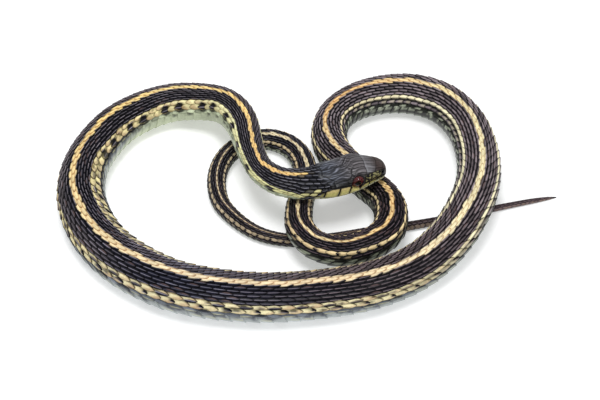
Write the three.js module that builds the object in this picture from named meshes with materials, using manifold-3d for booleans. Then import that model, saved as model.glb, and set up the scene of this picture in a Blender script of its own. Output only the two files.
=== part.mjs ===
// Common garter snake, life size, lying in loops with the head over its own coils.
// Millimetres, +Z up. The part stands on the floor z = 0, with its origin at the bottom centre of its box.
import * as THREE from "three";
import { mergeVertices } from "three/addons/utils/BufferGeometryUtils.js";
import Module from "manifold-3d";

const wasm = await Module();
wasm.setup();

// Route of the body, from the snout's tip to the tail's: x, y and the height of the belly over the floor
const ROUTE = [
  [25.0, 1.0, 9.5], [16.0, -1.9, 9.5], [8.0, -5.4, 9.8], [0.5, -7.1, 10.2],
  [-5.5, -6.0, 10.1], [-10.8, -1.0, 9.5], [-14.0, 6.9, 8.5], [-18.0, 22.5, 6.8],
  [-21.4, 29.5, 5.3], [-26.2, 34.3, 3.6], [-38.5, 37.4, 1.2], [-46.5, 35.5, 0.3],
  [-55.7, 28.6, 0], [-61.7, 18.4, 0], [-64.8, 7.5, 0], [-64.7, -3.5, 0],
  [-62.5, -11.5, 0], [-58.4, -19.9, 0], [-52.0, -27.9, 0], [-43.0, -35.0, 0],
  [-32.4, -40.2, 0], [-11.0, -43.5, 0], [11.1, -41.2, 0], [22.5, -37.8, 0],
  [33.2, -31.8, 0.3], [42.0, -23.2, 1.5], [48.7, -12.1, 2.8], [52.8, 0.5, 2.5],
  [53.8, 15.1, 1.0], [51.3, 28.5, 0.1], [45.2, 37.8, 0], [36.6, 42.2, 0],
  [27.1, 42.5, 0], [18.0, 39.3, 0], [11.6, 33.3, 0], [9.0, 24.7, 0],
  [10.5, 16.3, 0], [20.0, 3.1, 0], [24.7, -3.8, 0.9], [26.4, -12.3, 3.3],
  [25.0, -20.0, 3.4], [18.8, -24.6, 2.3], [11.7, -26.4, 2.1], [4.2, -24.9, 3.6],
  [0.2, -19.3, 4.1], [-0.3, -10.9, 3.0], [1.7, 6.9, 0.1], [0.3, 15.1, 0],
  [-3.7, 21.0, 0], [-9.9, 23.9, 0], [-16.4, 22.6, 0], [-21.6, 18.1, 0],
  [-24.6, 11.2, 0], [-25.0, 3.0, 0], [-22.5, -5.2, 0], [-12.2, -15.5, 0],
  [1.5, -18.4, 0], [21.9, -14.2, 0], [40.4, -9.7, 0], [61.1, -3.4, 0],
  [77.0, 1.0, 0],
];
const ROUTE_DIVISIONS = 3000;

// Half width of the body at a distance behind the snout
const GIRTH = [
  [24.5, 4.75], [29, 4.5], [44, 4.0], [55, 4.5], [65, 5.3], [74, 5.8], [87, 6.2],
  [107, 6.6], [131, 6.9], [159, 7.3], [193, 7.4], [215, 7.2], [249, 6.9], [273, 6.6],
  [328, 6.6], [349, 6.7], [368, 6.3], [386, 5.7], [403, 5.4], [418, 5.15], [450, 4.8],
  [464, 4.4], [481, 4.1], [498, 3.8], [512, 3.65], [533, 3.1], [550, 2.85],
  [565, 2.45], [579, 2.1], [600, 1.75], [619, 1.45], [641, 1.12], [650, 0.97],
  [658, 0.83], [663, 0.55], [666, 0.2],
];

// Lean of the back towards the snake's own right, in degrees, at a distance behind the snout
const ROLL = [
  [10, 0], [22, 4], [40, 0], [50, -12], [60, -19], [78, -6], [110, -6], [135, -16],
  [150, -15], [175, -7], [195, -1], [225, -3], [255, -7], [284, -8], [333, -5],
  [350, 4], [366, -1], [388, -18], [405, -2], [430, 5], [452, -2], [480, 4],
  [500, -8], [518, 8], [545, 4], [600, 0],
];

// Shape of a section as shares of its half width, and the squareness of its back and belly
const BACK_HEIGHT = 0.93;
const BELLY_DEPTH = 0.8;
const BELLY_FLAT = 0.03;
const BACK_POWER = 2;
const BELLY_POWER = 2.5;
const BODY_SIDES = 14;
const TAIL_SIDES = 12;
const NODE_GAP = 0.3;

// Head: distance behind the snout, half width, height of the crown, of the chin and of the widest line
const HEAD = [
  [0.08, 1.2, 4.2, 2.2, 3.1],
  [0.5, 2.2, 5.1, 1.6, 3.1],
  [1.2, 2.85, 5.75, 1.15, 3.1],
  [2.6, 3.42, 6.55, 0.75, 3.1],
  [4.8, 4.1, 7.4, 0.4, 3.15],
  [7.0, 4.85, 8.05, 0.2, 3.2],
  [9.5, 5.5, 8.4, 0.1, 3.3],
  [12.0, 5.75, 8.35, -0.15, 3.4],
  [15.0, 5.8, 8.28, -0.1, 3.5],
  [18.0, 5.68, 8.3, 0.1, 3.6],
  [21.0, 5.36, 8.16, 0, 3.6],
  [24.5, 4.75, 8.08, -0.14, 3.66],
];
const HEAD_LENGTH = 24.5;
const HEAD_SIDES = 32;
const HEAD_STEP = 1.0;
const CROWN_POWER = 2.5;
const NAPE_EASE = 6;
const SLOT_WIDTH = 18;

// Line of the mouth in the head's side view: distance behind the snout and height over the chin
const MOUTH = [
  [-1.5, 2.7], [3.0, 2.5], [8.5, 2.2], [14.0, 1.7], [17.5, 1.7], [20.2, 2.2],
  [22.2, 3.0], [22.9, 2.3], [23.2, -1.5],
];
const MOUTH_GAP = 0.3;

// Eyes: distance behind the snout, sideways, height, radius seen from the side, and depth
const EYE = { back: 10.5, side: 4.25, height: 4.85, radius: 1.95, depth: 1.3 };
const SOCKET_GAP = 0.3;
const NOSTRIL = { back: 2.0, side: 3.15, height: 4.5, radius: 0.36 };
const EYE_DETAIL = 16;
const NOSTRIL_DETAIL = 8;

// Shields of the head: rise of the plates, depth of their roots, and the seam between two of them
const PLATE_RISE = 0.16;
const PLATE_ROOT = 0.45;
const SEAM = 0.14;
const PLATE_EDGE = 2.2;
const PLATE_SHOULDER = 0.4;
const SHOULDER_DROP = 0.6;
const LARGEST_SEAM = 0.3;

// Crown, right half: corners as distance behind the snout and share of the half width
const CROWN_PAIRS = [
  [[1.1, 0], [3.1, 0], [3.9, 0.7], [1.5, 0.72]],
  [[3.1, 0], [7.1, 0], [7.4, 0.5], [7.0, 0.84], [4.4, 0.86], [3.9, 0.7]],
  [[7.4, 0.5], [11.8, 0.42], [12.6, 0.66], [11.8, 0.85], [8.6, 0.88], [7.1, 0.82]],
  [[14, 0], [20.4, 0], [20.8, 0.32], [17.8, 0.74], [13.6, 0.84], [12.6, 0.66], [11.8, 0.42]],
];
const FRONTAL = [[7.1, 0], [7.4, 0.5], [11.8, 0.42], [14, 0], [11.8, -0.42], [7.4, -0.5]];

// Sides: front and back of each plate behind the snout, and the heights of its front and back edges
const SIDE_PLATES = [
  [1.0, 3.7, 3.2, 4.9, 3.2, 5.55],
  [3.7, 5.8, 3.2, 5.55, 3.45, 5.9],
  [5.8, 8.1, 3.45, 5.9, 3.75, 6.25],
  [12.6, 14.2, 4.65, 5.6, 5.0, 5.75],
  [12.6, 14.2, 5.6, 6.8, 5.75, 6.6],
  [14.2, 18.0, 5.05, 6.6, 5.45, 6.95],
  [18.0, 21.8, 5.45, 6.2, 5.35, 6.2],
  [18.0, 21.8, 6.2, 7.1, 6.2, 7.0],
];
const UPPER_LIP_ENDS = [0.9, 2.3, 3.8, 6.5, 10.2, 13.5, 16.6, 20.3, 22.3];
const UPPER_LIP_TOP = [[0.9, 3.15], [3.8, 3.2], [6.5, 3.8], [10.2, 3.2], [13.5, 4.9], [16.6, 5.5], [22.3, 5.3]];
const LOWER_LIP = { ends: [1.2, 2.8, 4.6, 6.8, 9.4, 12.4, 15.6, 18.8, 21.6], height: 1.05 };

// Ends of the lengths of the body, as distances behind the snout
const NECK_END = 60;
const TORSO_ENDS = [84, 125, 165, 222, 278, 322, 352, 378, 416, 438, 460, 503];
const TAIL_ENDS = [520, 544, 584];
const SCUTE_PITCH = 4.4;
const SCUTE_EDGE = 0.25;
const SCUTE_FROM = 112;
const SCUTE_RISE = { least: 0.06, share: 0.03 };

const BACK_COLOUR = 0x2b2728;
const HEAD_COLOUR = 0x3a3940;
const LIP_COLOUR = 0xb9b06a;
const EYE_COLOUR = 0x4a1712;

// Value of a table of [place, value] pairs at a place, eased between its rows
function along(table, place, column = 1) {
  const last = table.length - 1;
  if (place <= table[0][0]) return table[0][column];
  if (place >= table[last][0]) return table[last][column];
  const i = table.findIndex((row) => row[0] > place) - 1;
  const share = (place - table[i][0]) / (table[i + 1][0] - table[i][0]);
  return THREE.MathUtils.lerp(table[i][column], table[i + 1][column], share);
}

const route = new THREE.CatmullRomCurve3(
  ROUTE.map(([x, y, lift]) => new THREE.Vector3(x, y, lift)),
  false,
  "centripetal",
);
route.arcLengthDivisions = ROUTE_DIVISIONS;
const LENGTH = route.getLength();

// Frame of the section at a distance behind the snout: a point on the belly line and three directions
function station(distance) {
  const share = THREE.MathUtils.clamp(distance / LENGTH, 0, 1);
  const foot = route.getPointAt(share);
  const back = route.getTangentAt(share);
  const right = new THREE.Vector3(0, 0, 1).cross(back).normalize();
  const up = back.clone().cross(right);
  const roll = THREE.MathUtils.degToRad(along(ROLL, distance));
  const leanUp = up.clone().multiplyScalar(Math.cos(roll)).addScaledVector(right, Math.sin(roll));
  const leanRight = right.clone().multiplyScalar(Math.cos(roll)).addScaledVector(up, -Math.sin(roll));
  return { foot, right: leanRight, up: leanUp };
}

// Half width, heights over the belly line, and squareness of the section at a distance
function outline(distance) {
  if (distance < HEAD_LENGTH) {
    const ease = THREE.MathUtils.smoothstep(distance, HEAD_LENGTH - NAPE_EASE, HEAD_LENGTH);
    return {
      half: along(HEAD, distance, 1),
      top: along(HEAD, distance, 2),
      bottom: along(HEAD, distance, 3),
      middle: along(HEAD, distance, 4),
      power: THREE.MathUtils.lerp(CROWN_POWER, BACK_POWER, ease),
    };
  }
  const half = along(GIRTH, distance);
  const bottom = -BELLY_FLAT * half;
  const middle = bottom + BELLY_DEPTH * half;
  return { half, top: middle + BACK_HEIGHT * half, bottom, middle, power: BACK_POWER };
}

// Point of the skin at an angle from the middle of the back, positive to the snake's right, raised a little
function skin(distance, angle, rise = 0) {
  const { foot, right, up } = station(distance);
  const { half, top, bottom, middle, power } = outline(distance);
  const turn = THREE.MathUtils.degToRad(angle);
  const across = Math.sin(turn);
  const high = Math.cos(turn);
  const sharp = 2 / (high > 0 ? power : BELLY_POWER);
  const side = Math.sign(across) * Math.abs(across) ** sharp;
  const level = Math.sign(high) * Math.abs(high) ** sharp;
  const point = foot.clone();
  point.z += middle;
  point.addScaledVector(right, side * (half + rise));
  point.addScaledVector(up, level * ((high > 0 ? top - middle : middle - bottom) + rise));
  point.z = Math.max(point.z, 0);
  return point;
}

// Closed surface through rings of equally many points, with a flat fan at each end
function loft(rings) {
  const sides = rings[0].length;
  const points = rings.flat();
  const ends = [rings[0], rings[rings.length - 1]].map((ring) =>
    ring.reduce((sum, p) => sum.add(p), new THREE.Vector3()).divideScalar(sides),
  );
  points.push(...ends);
  const faces = [];
  for (let i = 0; i + 1 < rings.length; i++) {
    for (let j = 0; j < sides; j++) {
      const a = i * sides + j;
      const b = i * sides + ((j + 1) % sides);
      faces.push(a, b, a + sides, b, b + sides, a + sides);
    }
  }
  const first = points.length - 2;
  const tail = (rings.length - 1) * sides;
  for (let j = 0; j < sides; j++) {
    faces.push(first, (j + 1) % sides, j);
    faces.push(first + 1, tail + j, tail + ((j + 1) % sides));
  }
  const geometry = new THREE.BufferGeometry().setFromPoints(points);
  geometry.setIndex(faces);
  return geometry;
}

// Length of the body with its belly scutes: each is flush in front and stands out at its free back edge
function bodyLength(start, end, sides) {
  const count = Math.max(1, Math.round((end - start) / SCUTE_PITCH));
  const pitch = (end - start) / count;
  const ring = (distance, rise) =>
    Array.from({ length: sides }, (_, j) => {
      const angle = 180 - (360 * (j + 0.5)) / sides;
      return skin(distance, angle, Math.abs(angle) > SCUTE_FROM ? rise : 0);
    });
  const rings = [];
  for (let k = 0; k < count; k++) {
    const front = start + k * pitch + (k ? SCUTE_EDGE : 0);
    const rear = start + (k + 1) * pitch;
    const rise = SCUTE_RISE.least + SCUTE_RISE.share * outline(rear).half;
    rings.push(ring(front, 0), ring(rear, rise));
  }
  return loft(rings);
}

// Solid of a geometry for the boolean cuts and joins, and the geometry of a solid
function solid(geometry) {
  const bare = new THREE.BufferGeometry();
  bare.setAttribute("position", geometry.getAttribute("position").clone());
  if (geometry.index) bare.setIndex(geometry.index.clone());
  const merged = mergeVertices(bare, 1e-4);
  const mesh = new wasm.Mesh({
    numProp: 3,
    vertProperties: new Float32Array(merged.attributes.position.array),
    triVerts: new Uint32Array(merged.index.array),
  });
  return new wasm.Manifold(mesh);
}

function geometryOf(body) {
  const mesh = body.getMesh();
  const geometry = new THREE.BufferGeometry();
  geometry.setAttribute("position", new THREE.BufferAttribute(new Float32Array(mesh.vertProperties), 3));
  geometry.setIndex(new THREE.BufferAttribute(new Uint32Array(mesh.triVerts), 1));
  return geometry;
}

// The head's own frame: x back from the snout, y to the snake's right, z up from the chin
const snout = route.getPointAt(0);
const nape = route.getPointAt(HEAD_LENGTH / LENGTH);
const headBack = nape.clone().sub(snout).setZ(0).normalize();
const headFrame = new THREE.Matrix4()
  .makeBasis(headBack, new THREE.Vector3(-headBack.y, headBack.x, 0), new THREE.Vector3(0, 0, 1))
  .setPosition(snout);

// Slot of the mouth: a thin sheet through the head along the line of the mouth, ending behind the jaw
function mouthSlot() {
  const points = MOUTH.map(([x, z]) => new THREE.Vector2(x, z));
  const normals = points.map((_, i) => {
    const before = points[Math.max(i - 1, 0)];
    const after = points[Math.min(i + 1, points.length - 1)];
    const run = after.clone().sub(before).normalize();
    return new THREE.Vector2(-run.y, run.x).multiplyScalar(MOUTH_GAP / 2);
  });
  const upper = points.map((p, i) => p.clone().add(normals[i]));
  const lower = points.map((p, i) => p.clone().sub(normals[i]));
  const sheet = new THREE.ExtrudeGeometry(new THREE.Shape([...lower, ...upper.reverse()]), {
    depth: SLOT_WIDTH,
    bevelEnabled: false,
  });
  sheet.translate(0, 0, -SLOT_WIDTH / 2).rotateX(Math.PI / 2);
  return sheet.applyMatrix4(headFrame);
}

// Ball pressed flat sideways, in the head's frame
function ball(place, radius, depth, side, detail) {
  const geometry = new THREE.SphereGeometry(radius, detail, Math.round(detail / 2));
  geometry.scale(1, depth / radius, 1);
  geometry.translate(place.back, side * place.side, place.height);
  return geometry.applyMatrix4(headFrame);
}

const group = new THREE.Group();

function addNode(name, geometry, colour, roughness) {
  const material = new THREE.MeshStandardMaterial({ color: colour, roughness, metalness: 0 });
  const mesh = new THREE.Mesh(geometry, material);
  mesh.name = name;
  group.add(mesh);
}

// Core of the head
function headCore() {
  const stops = HEAD.slice(0, 4).map((row) => row[0]);
  const steps = Math.round((HEAD_LENGTH - stops[3]) / HEAD_STEP);
  for (let i = 1; i <= steps; i++) {
    stops.push(stops[3] + ((HEAD_LENGTH - NODE_GAP / 2 - stops[3]) * i) / steps);
  }
  const rings = stops.map((distance) =>
    Array.from({ length: HEAD_SIDES }, (_, j) => skin(distance, 180 - (360 * (j + 0.5)) / HEAD_SIDES)),
  );
  return loft(rings);
}

// Angle of the skin, from the middle of the back, at a share of the half width or at a height over the chin
function angleAcross(distance, share) {
  const across = Math.abs(share) ** (outline(distance).power / 2);
  return Math.sign(share) * THREE.MathUtils.radToDeg(Math.asin(across));
}

function angleAtHeight(distance, height) {
  const { top, bottom, middle, power } = outline(distance);
  const above = height > middle;
  const share = above ? (height - middle) / (top - middle) : (middle - height) / (middle - bottom);
  const level = THREE.MathUtils.clamp(share, 0, 1) ** ((above ? power : BELLY_POWER) / 2);
  return THREE.MathUtils.radToDeg(Math.acos(above ? level : -level));
}

// Height of the line of the mouth over the chin
const mouthHeight = (distance) => along(MOUTH.slice(0, -2), distance);

// Plate of horn on the head: corners as distance and angle, its top a little domed, its root in the flesh
function plate(corners) {
  const middle = [0, 1].map((k) => corners.reduce((sum, c) => sum + c[k], 0) / corners.length);
  const edge = [];
  corners.forEach((corner, i) => {
    const next = corners[(i + 1) % corners.length];
    const span = skin(...corner).distanceTo(skin(...next));
    const steps = Math.max(1, Math.round(span / PLATE_EDGE));
    for (let k = 0; k < steps; k++) {
      edge.push([0, 1].map((c) => THREE.MathUtils.lerp(corner[c], next[c], k / steps)));
    }
  });
  const reach = skin(...middle).distanceTo(skin(...edge[0]));
  const inset = (share) => edge.map((p) => [0, 1].map((k) => THREE.MathUtils.lerp(p[k], middle[k], share)));
  const seam = Math.min(LARGEST_SEAM, SEAM / 2 / reach);
  const rows = [[seam, -PLATE_ROOT], [seam, PLATE_RISE * SHOULDER_DROP], [PLATE_SHOULDER, PLATE_RISE]];
  const rings = rows.map(([share, rise]) => inset(share).map(([d, a]) => skin(d, a, rise)));
  const made = loft(rings);
  const ends = made.getAttribute("position");
  const under = skin(...middle, -PLATE_ROOT);
  const over = skin(...middle, PLATE_RISE);
  ends.setXYZ(ends.count - 2, under.x, under.y, under.z);
  ends.setXYZ(ends.count - 1, over.x, over.y, over.z);
  const body = solid(made);
  return body.volume() > 0 ? body : solid(turned(made));
}

// Same surface with its faces turned round
function turned(geometry) {
  const index = Array.from(geometry.index.array);
  for (let i = 0; i < index.length; i += 3) [index[i + 1], index[i + 2]] = [index[i + 2], index[i + 1]];
  return geometry.clone().setIndex(index);
}

// Plates of the crown, the cheeks and the upper lip
function headPlates() {
  const across = ([distance, share], side) => [distance, angleAcross(distance, side * share)];
  const plates = [plate(FRONTAL.map((corner) => across(corner, 1)))];
  for (const side of [1, -1]) {
    CROWN_PAIRS.forEach((corners) => plates.push(plate(corners.map((c) => across(c, side)))));
    const at = (distance, height) => [distance, side * angleAtHeight(distance, height)];
    SIDE_PLATES.forEach(([front, back, frontLow, frontHigh, backLow, backHigh]) => {
      plates.push(plate([at(front, frontLow), at(front, frontHigh), at(back, backHigh), at(back, backLow)]));
    });
    const top = (distance) => along(UPPER_LIP_TOP, distance);
    const edge = (distance) => mouthHeight(distance) + MOUTH_GAP / 2;
    for (let i = 0; i + 1 < UPPER_LIP_ENDS.length; i++) {
      const [a, b] = [UPPER_LIP_ENDS[i], UPPER_LIP_ENDS[i + 1]];
      plates.push(plate([at(a, edge(a)), at(a, top(a)), at(b, top(b)), at(b, edge(b))]));
    }
  }
  return plates;
}

// Plates of the lower lip
function jawPlates() {
  const plates = [];
  for (const side of [1, -1]) {
    const at = (distance, height) => [distance, side * angleAtHeight(distance, height)];
    for (let i = 0; i + 1 < LOWER_LIP.ends.length; i++) {
      const [a, b] = [LOWER_LIP.ends[i], LOWER_LIP.ends[i + 1]];
      const high = (distance) => mouthHeight(distance) - MOUTH_GAP / 2;
      const low = (distance) => Math.max(high(distance) - LOWER_LIP.height, outline(distance).bottom);
      plates.push(plate([at(a, high(a)), at(a, low(a)), at(b, low(b)), at(b, high(b))]));
    }
  }
  return plates;
}

// Largest closed surface of a solid
function largest(body) {
  return body.decompose().sort((a, b) => b.volume() - a.volume())[0];
}

// Head and jaw, parted by the line of the mouth, with sockets for the eyes and nostrils
const [skullCore, jawCore] = solid(headCore())
  .subtract(solid(mouthSlot()))
  .decompose()
  .sort((a, b) => b.volume() - a.volume());
let skull = skullCore;
headPlates().forEach((made) => {
  skull = skull.add(made);
});
for (const side of [1, -1]) {
  const name = side > 0 ? "eye_right" : "eye_left";
  addNode(name, ball(EYE, EYE.radius, EYE.depth, side, EYE_DETAIL), EYE_COLOUR, 0.12);
  const socket = ball(EYE, EYE.radius + SOCKET_GAP, EYE.depth + SOCKET_GAP, side, EYE_DETAIL);
  skull = skull.subtract(solid(socket));
  skull = skull.subtract(solid(ball(NOSTRIL, NOSTRIL.radius, NOSTRIL.radius, side, NOSTRIL_DETAIL)));
}
let jaw = jawCore;
jawPlates().forEach((made) => {
  jaw = jaw.add(made);
});
const slot = solid(mouthSlot());
addNode("head", geometryOf(largest(skull.subtract(slot))), HEAD_COLOUR, 0.4);
addNode("lower_jaw", geometryOf(largest(jaw.subtract(slot))), LIP_COLOUR, 0.45);

// Neck, torso and tail
function addLengths(name, start, ends, sides) {
  ends.forEach((end, i) => {
    const from = i ? ends[i - 1] : start;
    const title = ends.length > 1 ? `${name}_${i + 1}` : name;
    const geometry = bodyLength(from + NODE_GAP / 2, end - NODE_GAP / 2, sides);
    addNode(title, geometry, BACK_COLOUR, 0.5);
  });
}
addLengths("neck", HEAD_LENGTH, [NECK_END], BODY_SIDES);
addLengths("torso", NECK_END, TORSO_ENDS, BODY_SIDES);
addLengths("tail", TORSO_ENDS.at(-1), [...TAIL_ENDS, LENGTH], TAIL_SIDES);

// Origin at the bottom centre of the box
const box = new THREE.Box3().setFromObject(group);
const centre = box.getCenter(new THREE.Vector3());
group.position.set(-centre.x, -centre.y, -box.min.z);
group.updateMatrixWorld(true);

export default group;
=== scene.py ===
import math
from functools import partial
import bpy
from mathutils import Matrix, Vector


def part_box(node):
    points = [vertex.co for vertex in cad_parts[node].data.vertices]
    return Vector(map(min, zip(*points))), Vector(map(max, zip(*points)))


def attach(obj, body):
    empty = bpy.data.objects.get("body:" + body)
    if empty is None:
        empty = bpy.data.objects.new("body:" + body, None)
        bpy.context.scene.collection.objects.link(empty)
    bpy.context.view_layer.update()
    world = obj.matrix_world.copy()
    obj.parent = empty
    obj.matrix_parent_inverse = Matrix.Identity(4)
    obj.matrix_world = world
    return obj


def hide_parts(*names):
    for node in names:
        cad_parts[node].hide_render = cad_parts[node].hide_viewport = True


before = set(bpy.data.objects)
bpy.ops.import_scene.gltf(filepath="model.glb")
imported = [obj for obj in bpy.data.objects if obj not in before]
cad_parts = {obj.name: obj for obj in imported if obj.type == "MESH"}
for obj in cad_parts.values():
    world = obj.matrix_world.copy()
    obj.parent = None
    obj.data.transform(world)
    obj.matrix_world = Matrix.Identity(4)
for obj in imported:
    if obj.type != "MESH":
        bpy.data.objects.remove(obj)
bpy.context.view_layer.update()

from types import SimpleNamespace

import bpy
import numpy as np
from mathutils import Vector

# Common garter snake, life size, in loops with its head over its own coils.
# Sizes in the tables are millimetres. MM turns them into metres.
MM = 0.001
rng = np.random.default_rng(41)

# Route of the body from the snout's tip to the tail's: x, y and the height of the belly over the floor
ROUTE = [
    (25.0, 1.0, 9.5), (16.0, -1.9, 9.5), (8.0, -5.4, 9.8), (0.5, -7.1, 10.2),
    (-5.5, -6.0, 10.1), (-10.8, -1.0, 9.5), (-14.0, 6.9, 8.5), (-18.0, 22.5, 6.8),
    (-21.4, 29.5, 5.3), (-26.2, 34.3, 3.6), (-38.5, 37.4, 1.2), (-46.5, 35.5, 0.3),
    (-55.7, 28.6, 0), (-61.7, 18.4, 0), (-64.8, 7.5, 0), (-64.7, -3.5, 0),
    (-62.5, -11.5, 0), (-58.4, -19.9, 0), (-52.0, -27.9, 0), (-43.0, -35.0, 0),
    (-32.4, -40.2, 0), (-11.0, -43.5, 0), (11.1, -41.2, 0), (22.5, -37.8, 0),
    (33.2, -31.8, 0.3), (42.0, -23.2, 1.5), (48.7, -12.1, 2.8), (52.8, 0.5, 2.5),
    (53.8, 15.1, 1.0), (51.3, 28.5, 0.1), (45.2, 37.8, 0), (36.6, 42.2, 0),
    (27.1, 42.5, 0), (18.0, 39.3, 0), (11.6, 33.3, 0), (9.0, 24.7, 0),
    (10.5, 16.3, 0), (20.0, 3.1, 0), (24.7, -3.8, 0.9), (26.4, -12.3, 3.3),
    (25.0, -20.0, 3.4), (18.8, -24.6, 2.3), (11.7, -26.4, 2.1), (4.2, -24.9, 3.6),
    (0.2, -19.3, 4.1), (-0.3, -10.9, 3.0), (1.7, 6.9, 0.1), (0.3, 15.1, 0),
    (-3.7, 21.0, 0), (-9.9, 23.9, 0), (-16.4, 22.6, 0), (-21.6, 18.1, 0),
    (-24.6, 11.2, 0), (-25.0, 3.0, 0), (-22.5, -5.2, 0), (-12.2, -15.5, 0),
    (1.5, -18.4, 0), (21.9, -14.2, 0), (40.4, -9.7, 0), (61.1, -3.4, 0),
    (77.0, 1.0, 0),
]

# Half width of the body at a distance behind the snout
GIRTH = [
    (24.5, 4.75), (29, 4.5), (44, 4.0), (55, 4.5), (65, 5.3), (74, 5.8), (87, 6.2),
    (107, 6.6), (131, 6.9), (159, 7.3), (193, 7.4), (215, 7.2), (249, 6.9), (273, 6.6),
    (328, 6.6), (349, 6.7), (368, 6.3), (386, 5.7), (403, 5.4), (418, 5.15), (450, 4.8),
    (464, 4.4), (481, 4.1), (498, 3.8), (512, 3.65), (533, 3.1), (550, 2.85),
    (565, 2.45), (579, 2.1), (600, 1.75), (619, 1.45), (641, 1.12), (650, 0.97),
    (658, 0.83), (663, 0.55), (666, 0.2),
]

# Lean of the back towards the snake's own right, in degrees, at a distance behind the snout
ROLL = [
    (10, 0), (22, 4), (40, 0), (50, -12), (60, -19), (78, -6), (110, -6), (135, -16),
    (150, -15), (175, -7), (195, -1), (225, -3), (255, -7), (284, -8), (333, -5),
    (350, 4), (366, -1), (388, -18), (405, -2), (430, 5), (452, -2), (480, 4),
    (500, -8), (518, 8), (545, 4), (600, 0),
]

# Shape of a section as shares of its half width, and the squareness of its back and belly
BACK_HEIGHT = 0.93
BELLY_DEPTH = 0.8
BELLY_FLAT = 0.03
BACK_POWER = 2.0
BELLY_POWER = 2.5
CROWN_POWER = 2.5
# Nothing of the skin lies lower than this over the floor
LOWEST = 0.01

# Head: distance behind the snout, half width, height of the crown, of the chin and of the widest line
HEAD = [
    (0.0, 0.02, 3.25, 3.1, 3.15), (0.08, 1.2, 4.2, 2.2, 3.1), (0.5, 2.2, 5.1, 1.6, 3.1),
    (1.2, 2.85, 5.75, 1.15, 3.1), (2.6, 3.42, 6.55, 0.75, 3.1), (4.8, 4.1, 7.4, 0.4, 3.15),
    (7.0, 4.85, 8.05, 0.2, 3.2), (9.5, 5.5, 8.4, 0.1, 3.3), (12.0, 5.75, 8.35, -0.15, 3.4),
    (15.0, 5.8, 8.28, -0.1, 3.5), (18.0, 5.68, 8.3, 0.1, 3.6), (21.0, 5.36, 8.16, 0, 3.6),
    (24.5, 4.75, 8.08, -0.14, 3.66),
]
HEAD_LENGTH = 24.5
NAPE_EASE = 6.0

# Line of the mouth: distance behind the snout and height over the chin
MOUTH = [
    (0.0, 2.58), (3.0, 2.5), (8.5, 2.2), (14.0, 1.7), (17.5, 1.7), (20.2, 2.2), (22.2, 3.0),
]
EYE_BACK, EYE_SIDE, EYE_HEIGHT, EYE_RADIUS, EYE_DEPTH = 10.5, 4.2, 4.85, 2.15, 1.35

# Steps of the route between two of its points
ROUTE_STEPS = 60


def hermite(t, start, start_slope, end, end_slope):
    """Cubic from one value to another with the slopes at both."""
    cubic = (2 * t**3 - 3 * t**2 + 1) * start + (t**3 - 2 * t**2 + t) * start_slope
    return cubic + (3 * t**2 - 2 * t**3) * end + (t**3 - t**2) * end_slope


def catmull(points):
    """Points on a centripetal Catmull-Rom curve, close together."""
    p = np.array(points, float)
    p = np.vstack([2 * p[0] - p[1], p, 2 * p[-1] - p[-2]])
    t = np.arange(ROUTE_STEPS)[:, None] / ROUTE_STEPS
    run = []
    for a, b, c, d in zip(p[:-3], p[1:-2], p[2:-1], p[3:]):
        ab, bc, cd = (math.sqrt(np.linalg.norm(v - u)) for u, v in ((a, b), (b, c), (c, d)))
        start = ((b - a) / ab - (c - a) / (ab + bc) + (c - b) / bc) * bc
        end = ((c - b) / bc - (d - b) / (bc + cd) + (d - c) / cd) * bc
        run.append(hermite(t, b, start, c, end))
    return np.vstack(run + [p[-2][None]])


def monotone(xs, ys, x):
    """Smooth curve through points that never overshoots them."""
    xs, ys = np.array(xs, float), np.array(ys, float)
    step = np.diff(xs)
    slope = np.diff(ys) / step
    tangent = np.zeros(len(xs))
    same = slope[:-1] * slope[1:] > 0
    w1, w2 = 2 * step[1:] + step[:-1], step[1:] + 2 * step[:-1]
    with np.errstate(divide="ignore", invalid="ignore"):
        harmonic = (w1 + w2) / (w1 / slope[:-1] + w2 / slope[1:])
    tangent[1:-1] = np.where(same, harmonic, 0)
    tangent[0], tangent[-1] = slope[0], slope[-1]
    x = np.clip(x, xs[0], xs[-1])
    i = np.clip(np.searchsorted(xs, x) - 1, 0, len(step) - 1)
    t = (x - xs[i]) / step[i]
    return hermite(t, ys[i], step[i] * tangent[i], ys[i + 1], step[i] * tangent[i + 1])


def ease(x, low, high):
    """Smooth step: 0 up to low, and 1 from high on."""
    t = np.clip((x - low) / (high - low), 0, 1)
    return t * t * (3 - 2 * t)


def bell(off, width):
    """1 where off is 0, falling smoothly on both sides."""
    return np.exp(-((off / width) ** 2))


def mix(a, b, share):
    """Mix of two colours by a share for each point."""
    share = np.asarray(share)[..., None]
    return np.asarray(a) * (1 - share) + np.asarray(b) * share


def value_at(table, s):
    """Value between the rows of a table of places and values."""
    return np.interp(s, *np.array(table).T)


def tone_at(table, s):
    """Colour between the rows of a table of places and colours."""
    return np.stack([np.interp(s, *np.array(table)[:, [0, k]].T) for k in (1, 2, 3)], -1)


def each(values):
    """One value or colour for each scale, ready to spread over the points of its grid."""
    return np.asarray(values)[:, None, None]


def stretch(s, start, full, fade, end):
    """1 on a stretch of the body, easing in from start to full and out from fade to end."""
    return each(ease(s, start, full) * (1 - ease(s, fade, end)))


# Route in fine steps, with the frame of each section
way = catmull(ROUTE)
reach = np.concatenate([[0], np.cumsum(np.linalg.norm(np.diff(way, axis=0), axis=1))])
LENGTH = reach[-1]
back = np.gradient(way, reach, axis=0)
back /= np.linalg.norm(back, axis=1)[:, None]
side_way = np.column_stack([-back[:, 1], back[:, 0], np.zeros(len(back))])
side_way /= np.linalg.norm(side_way, axis=1)[:, None]
up_way = np.cross(back, side_way)
lean = np.radians(value_at(ROLL, reach))[:, None]
right_way = side_way * np.cos(lean) - up_way * np.sin(lean)
lean_up_way = up_way * np.cos(lean) + side_way * np.sin(lean)

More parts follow.
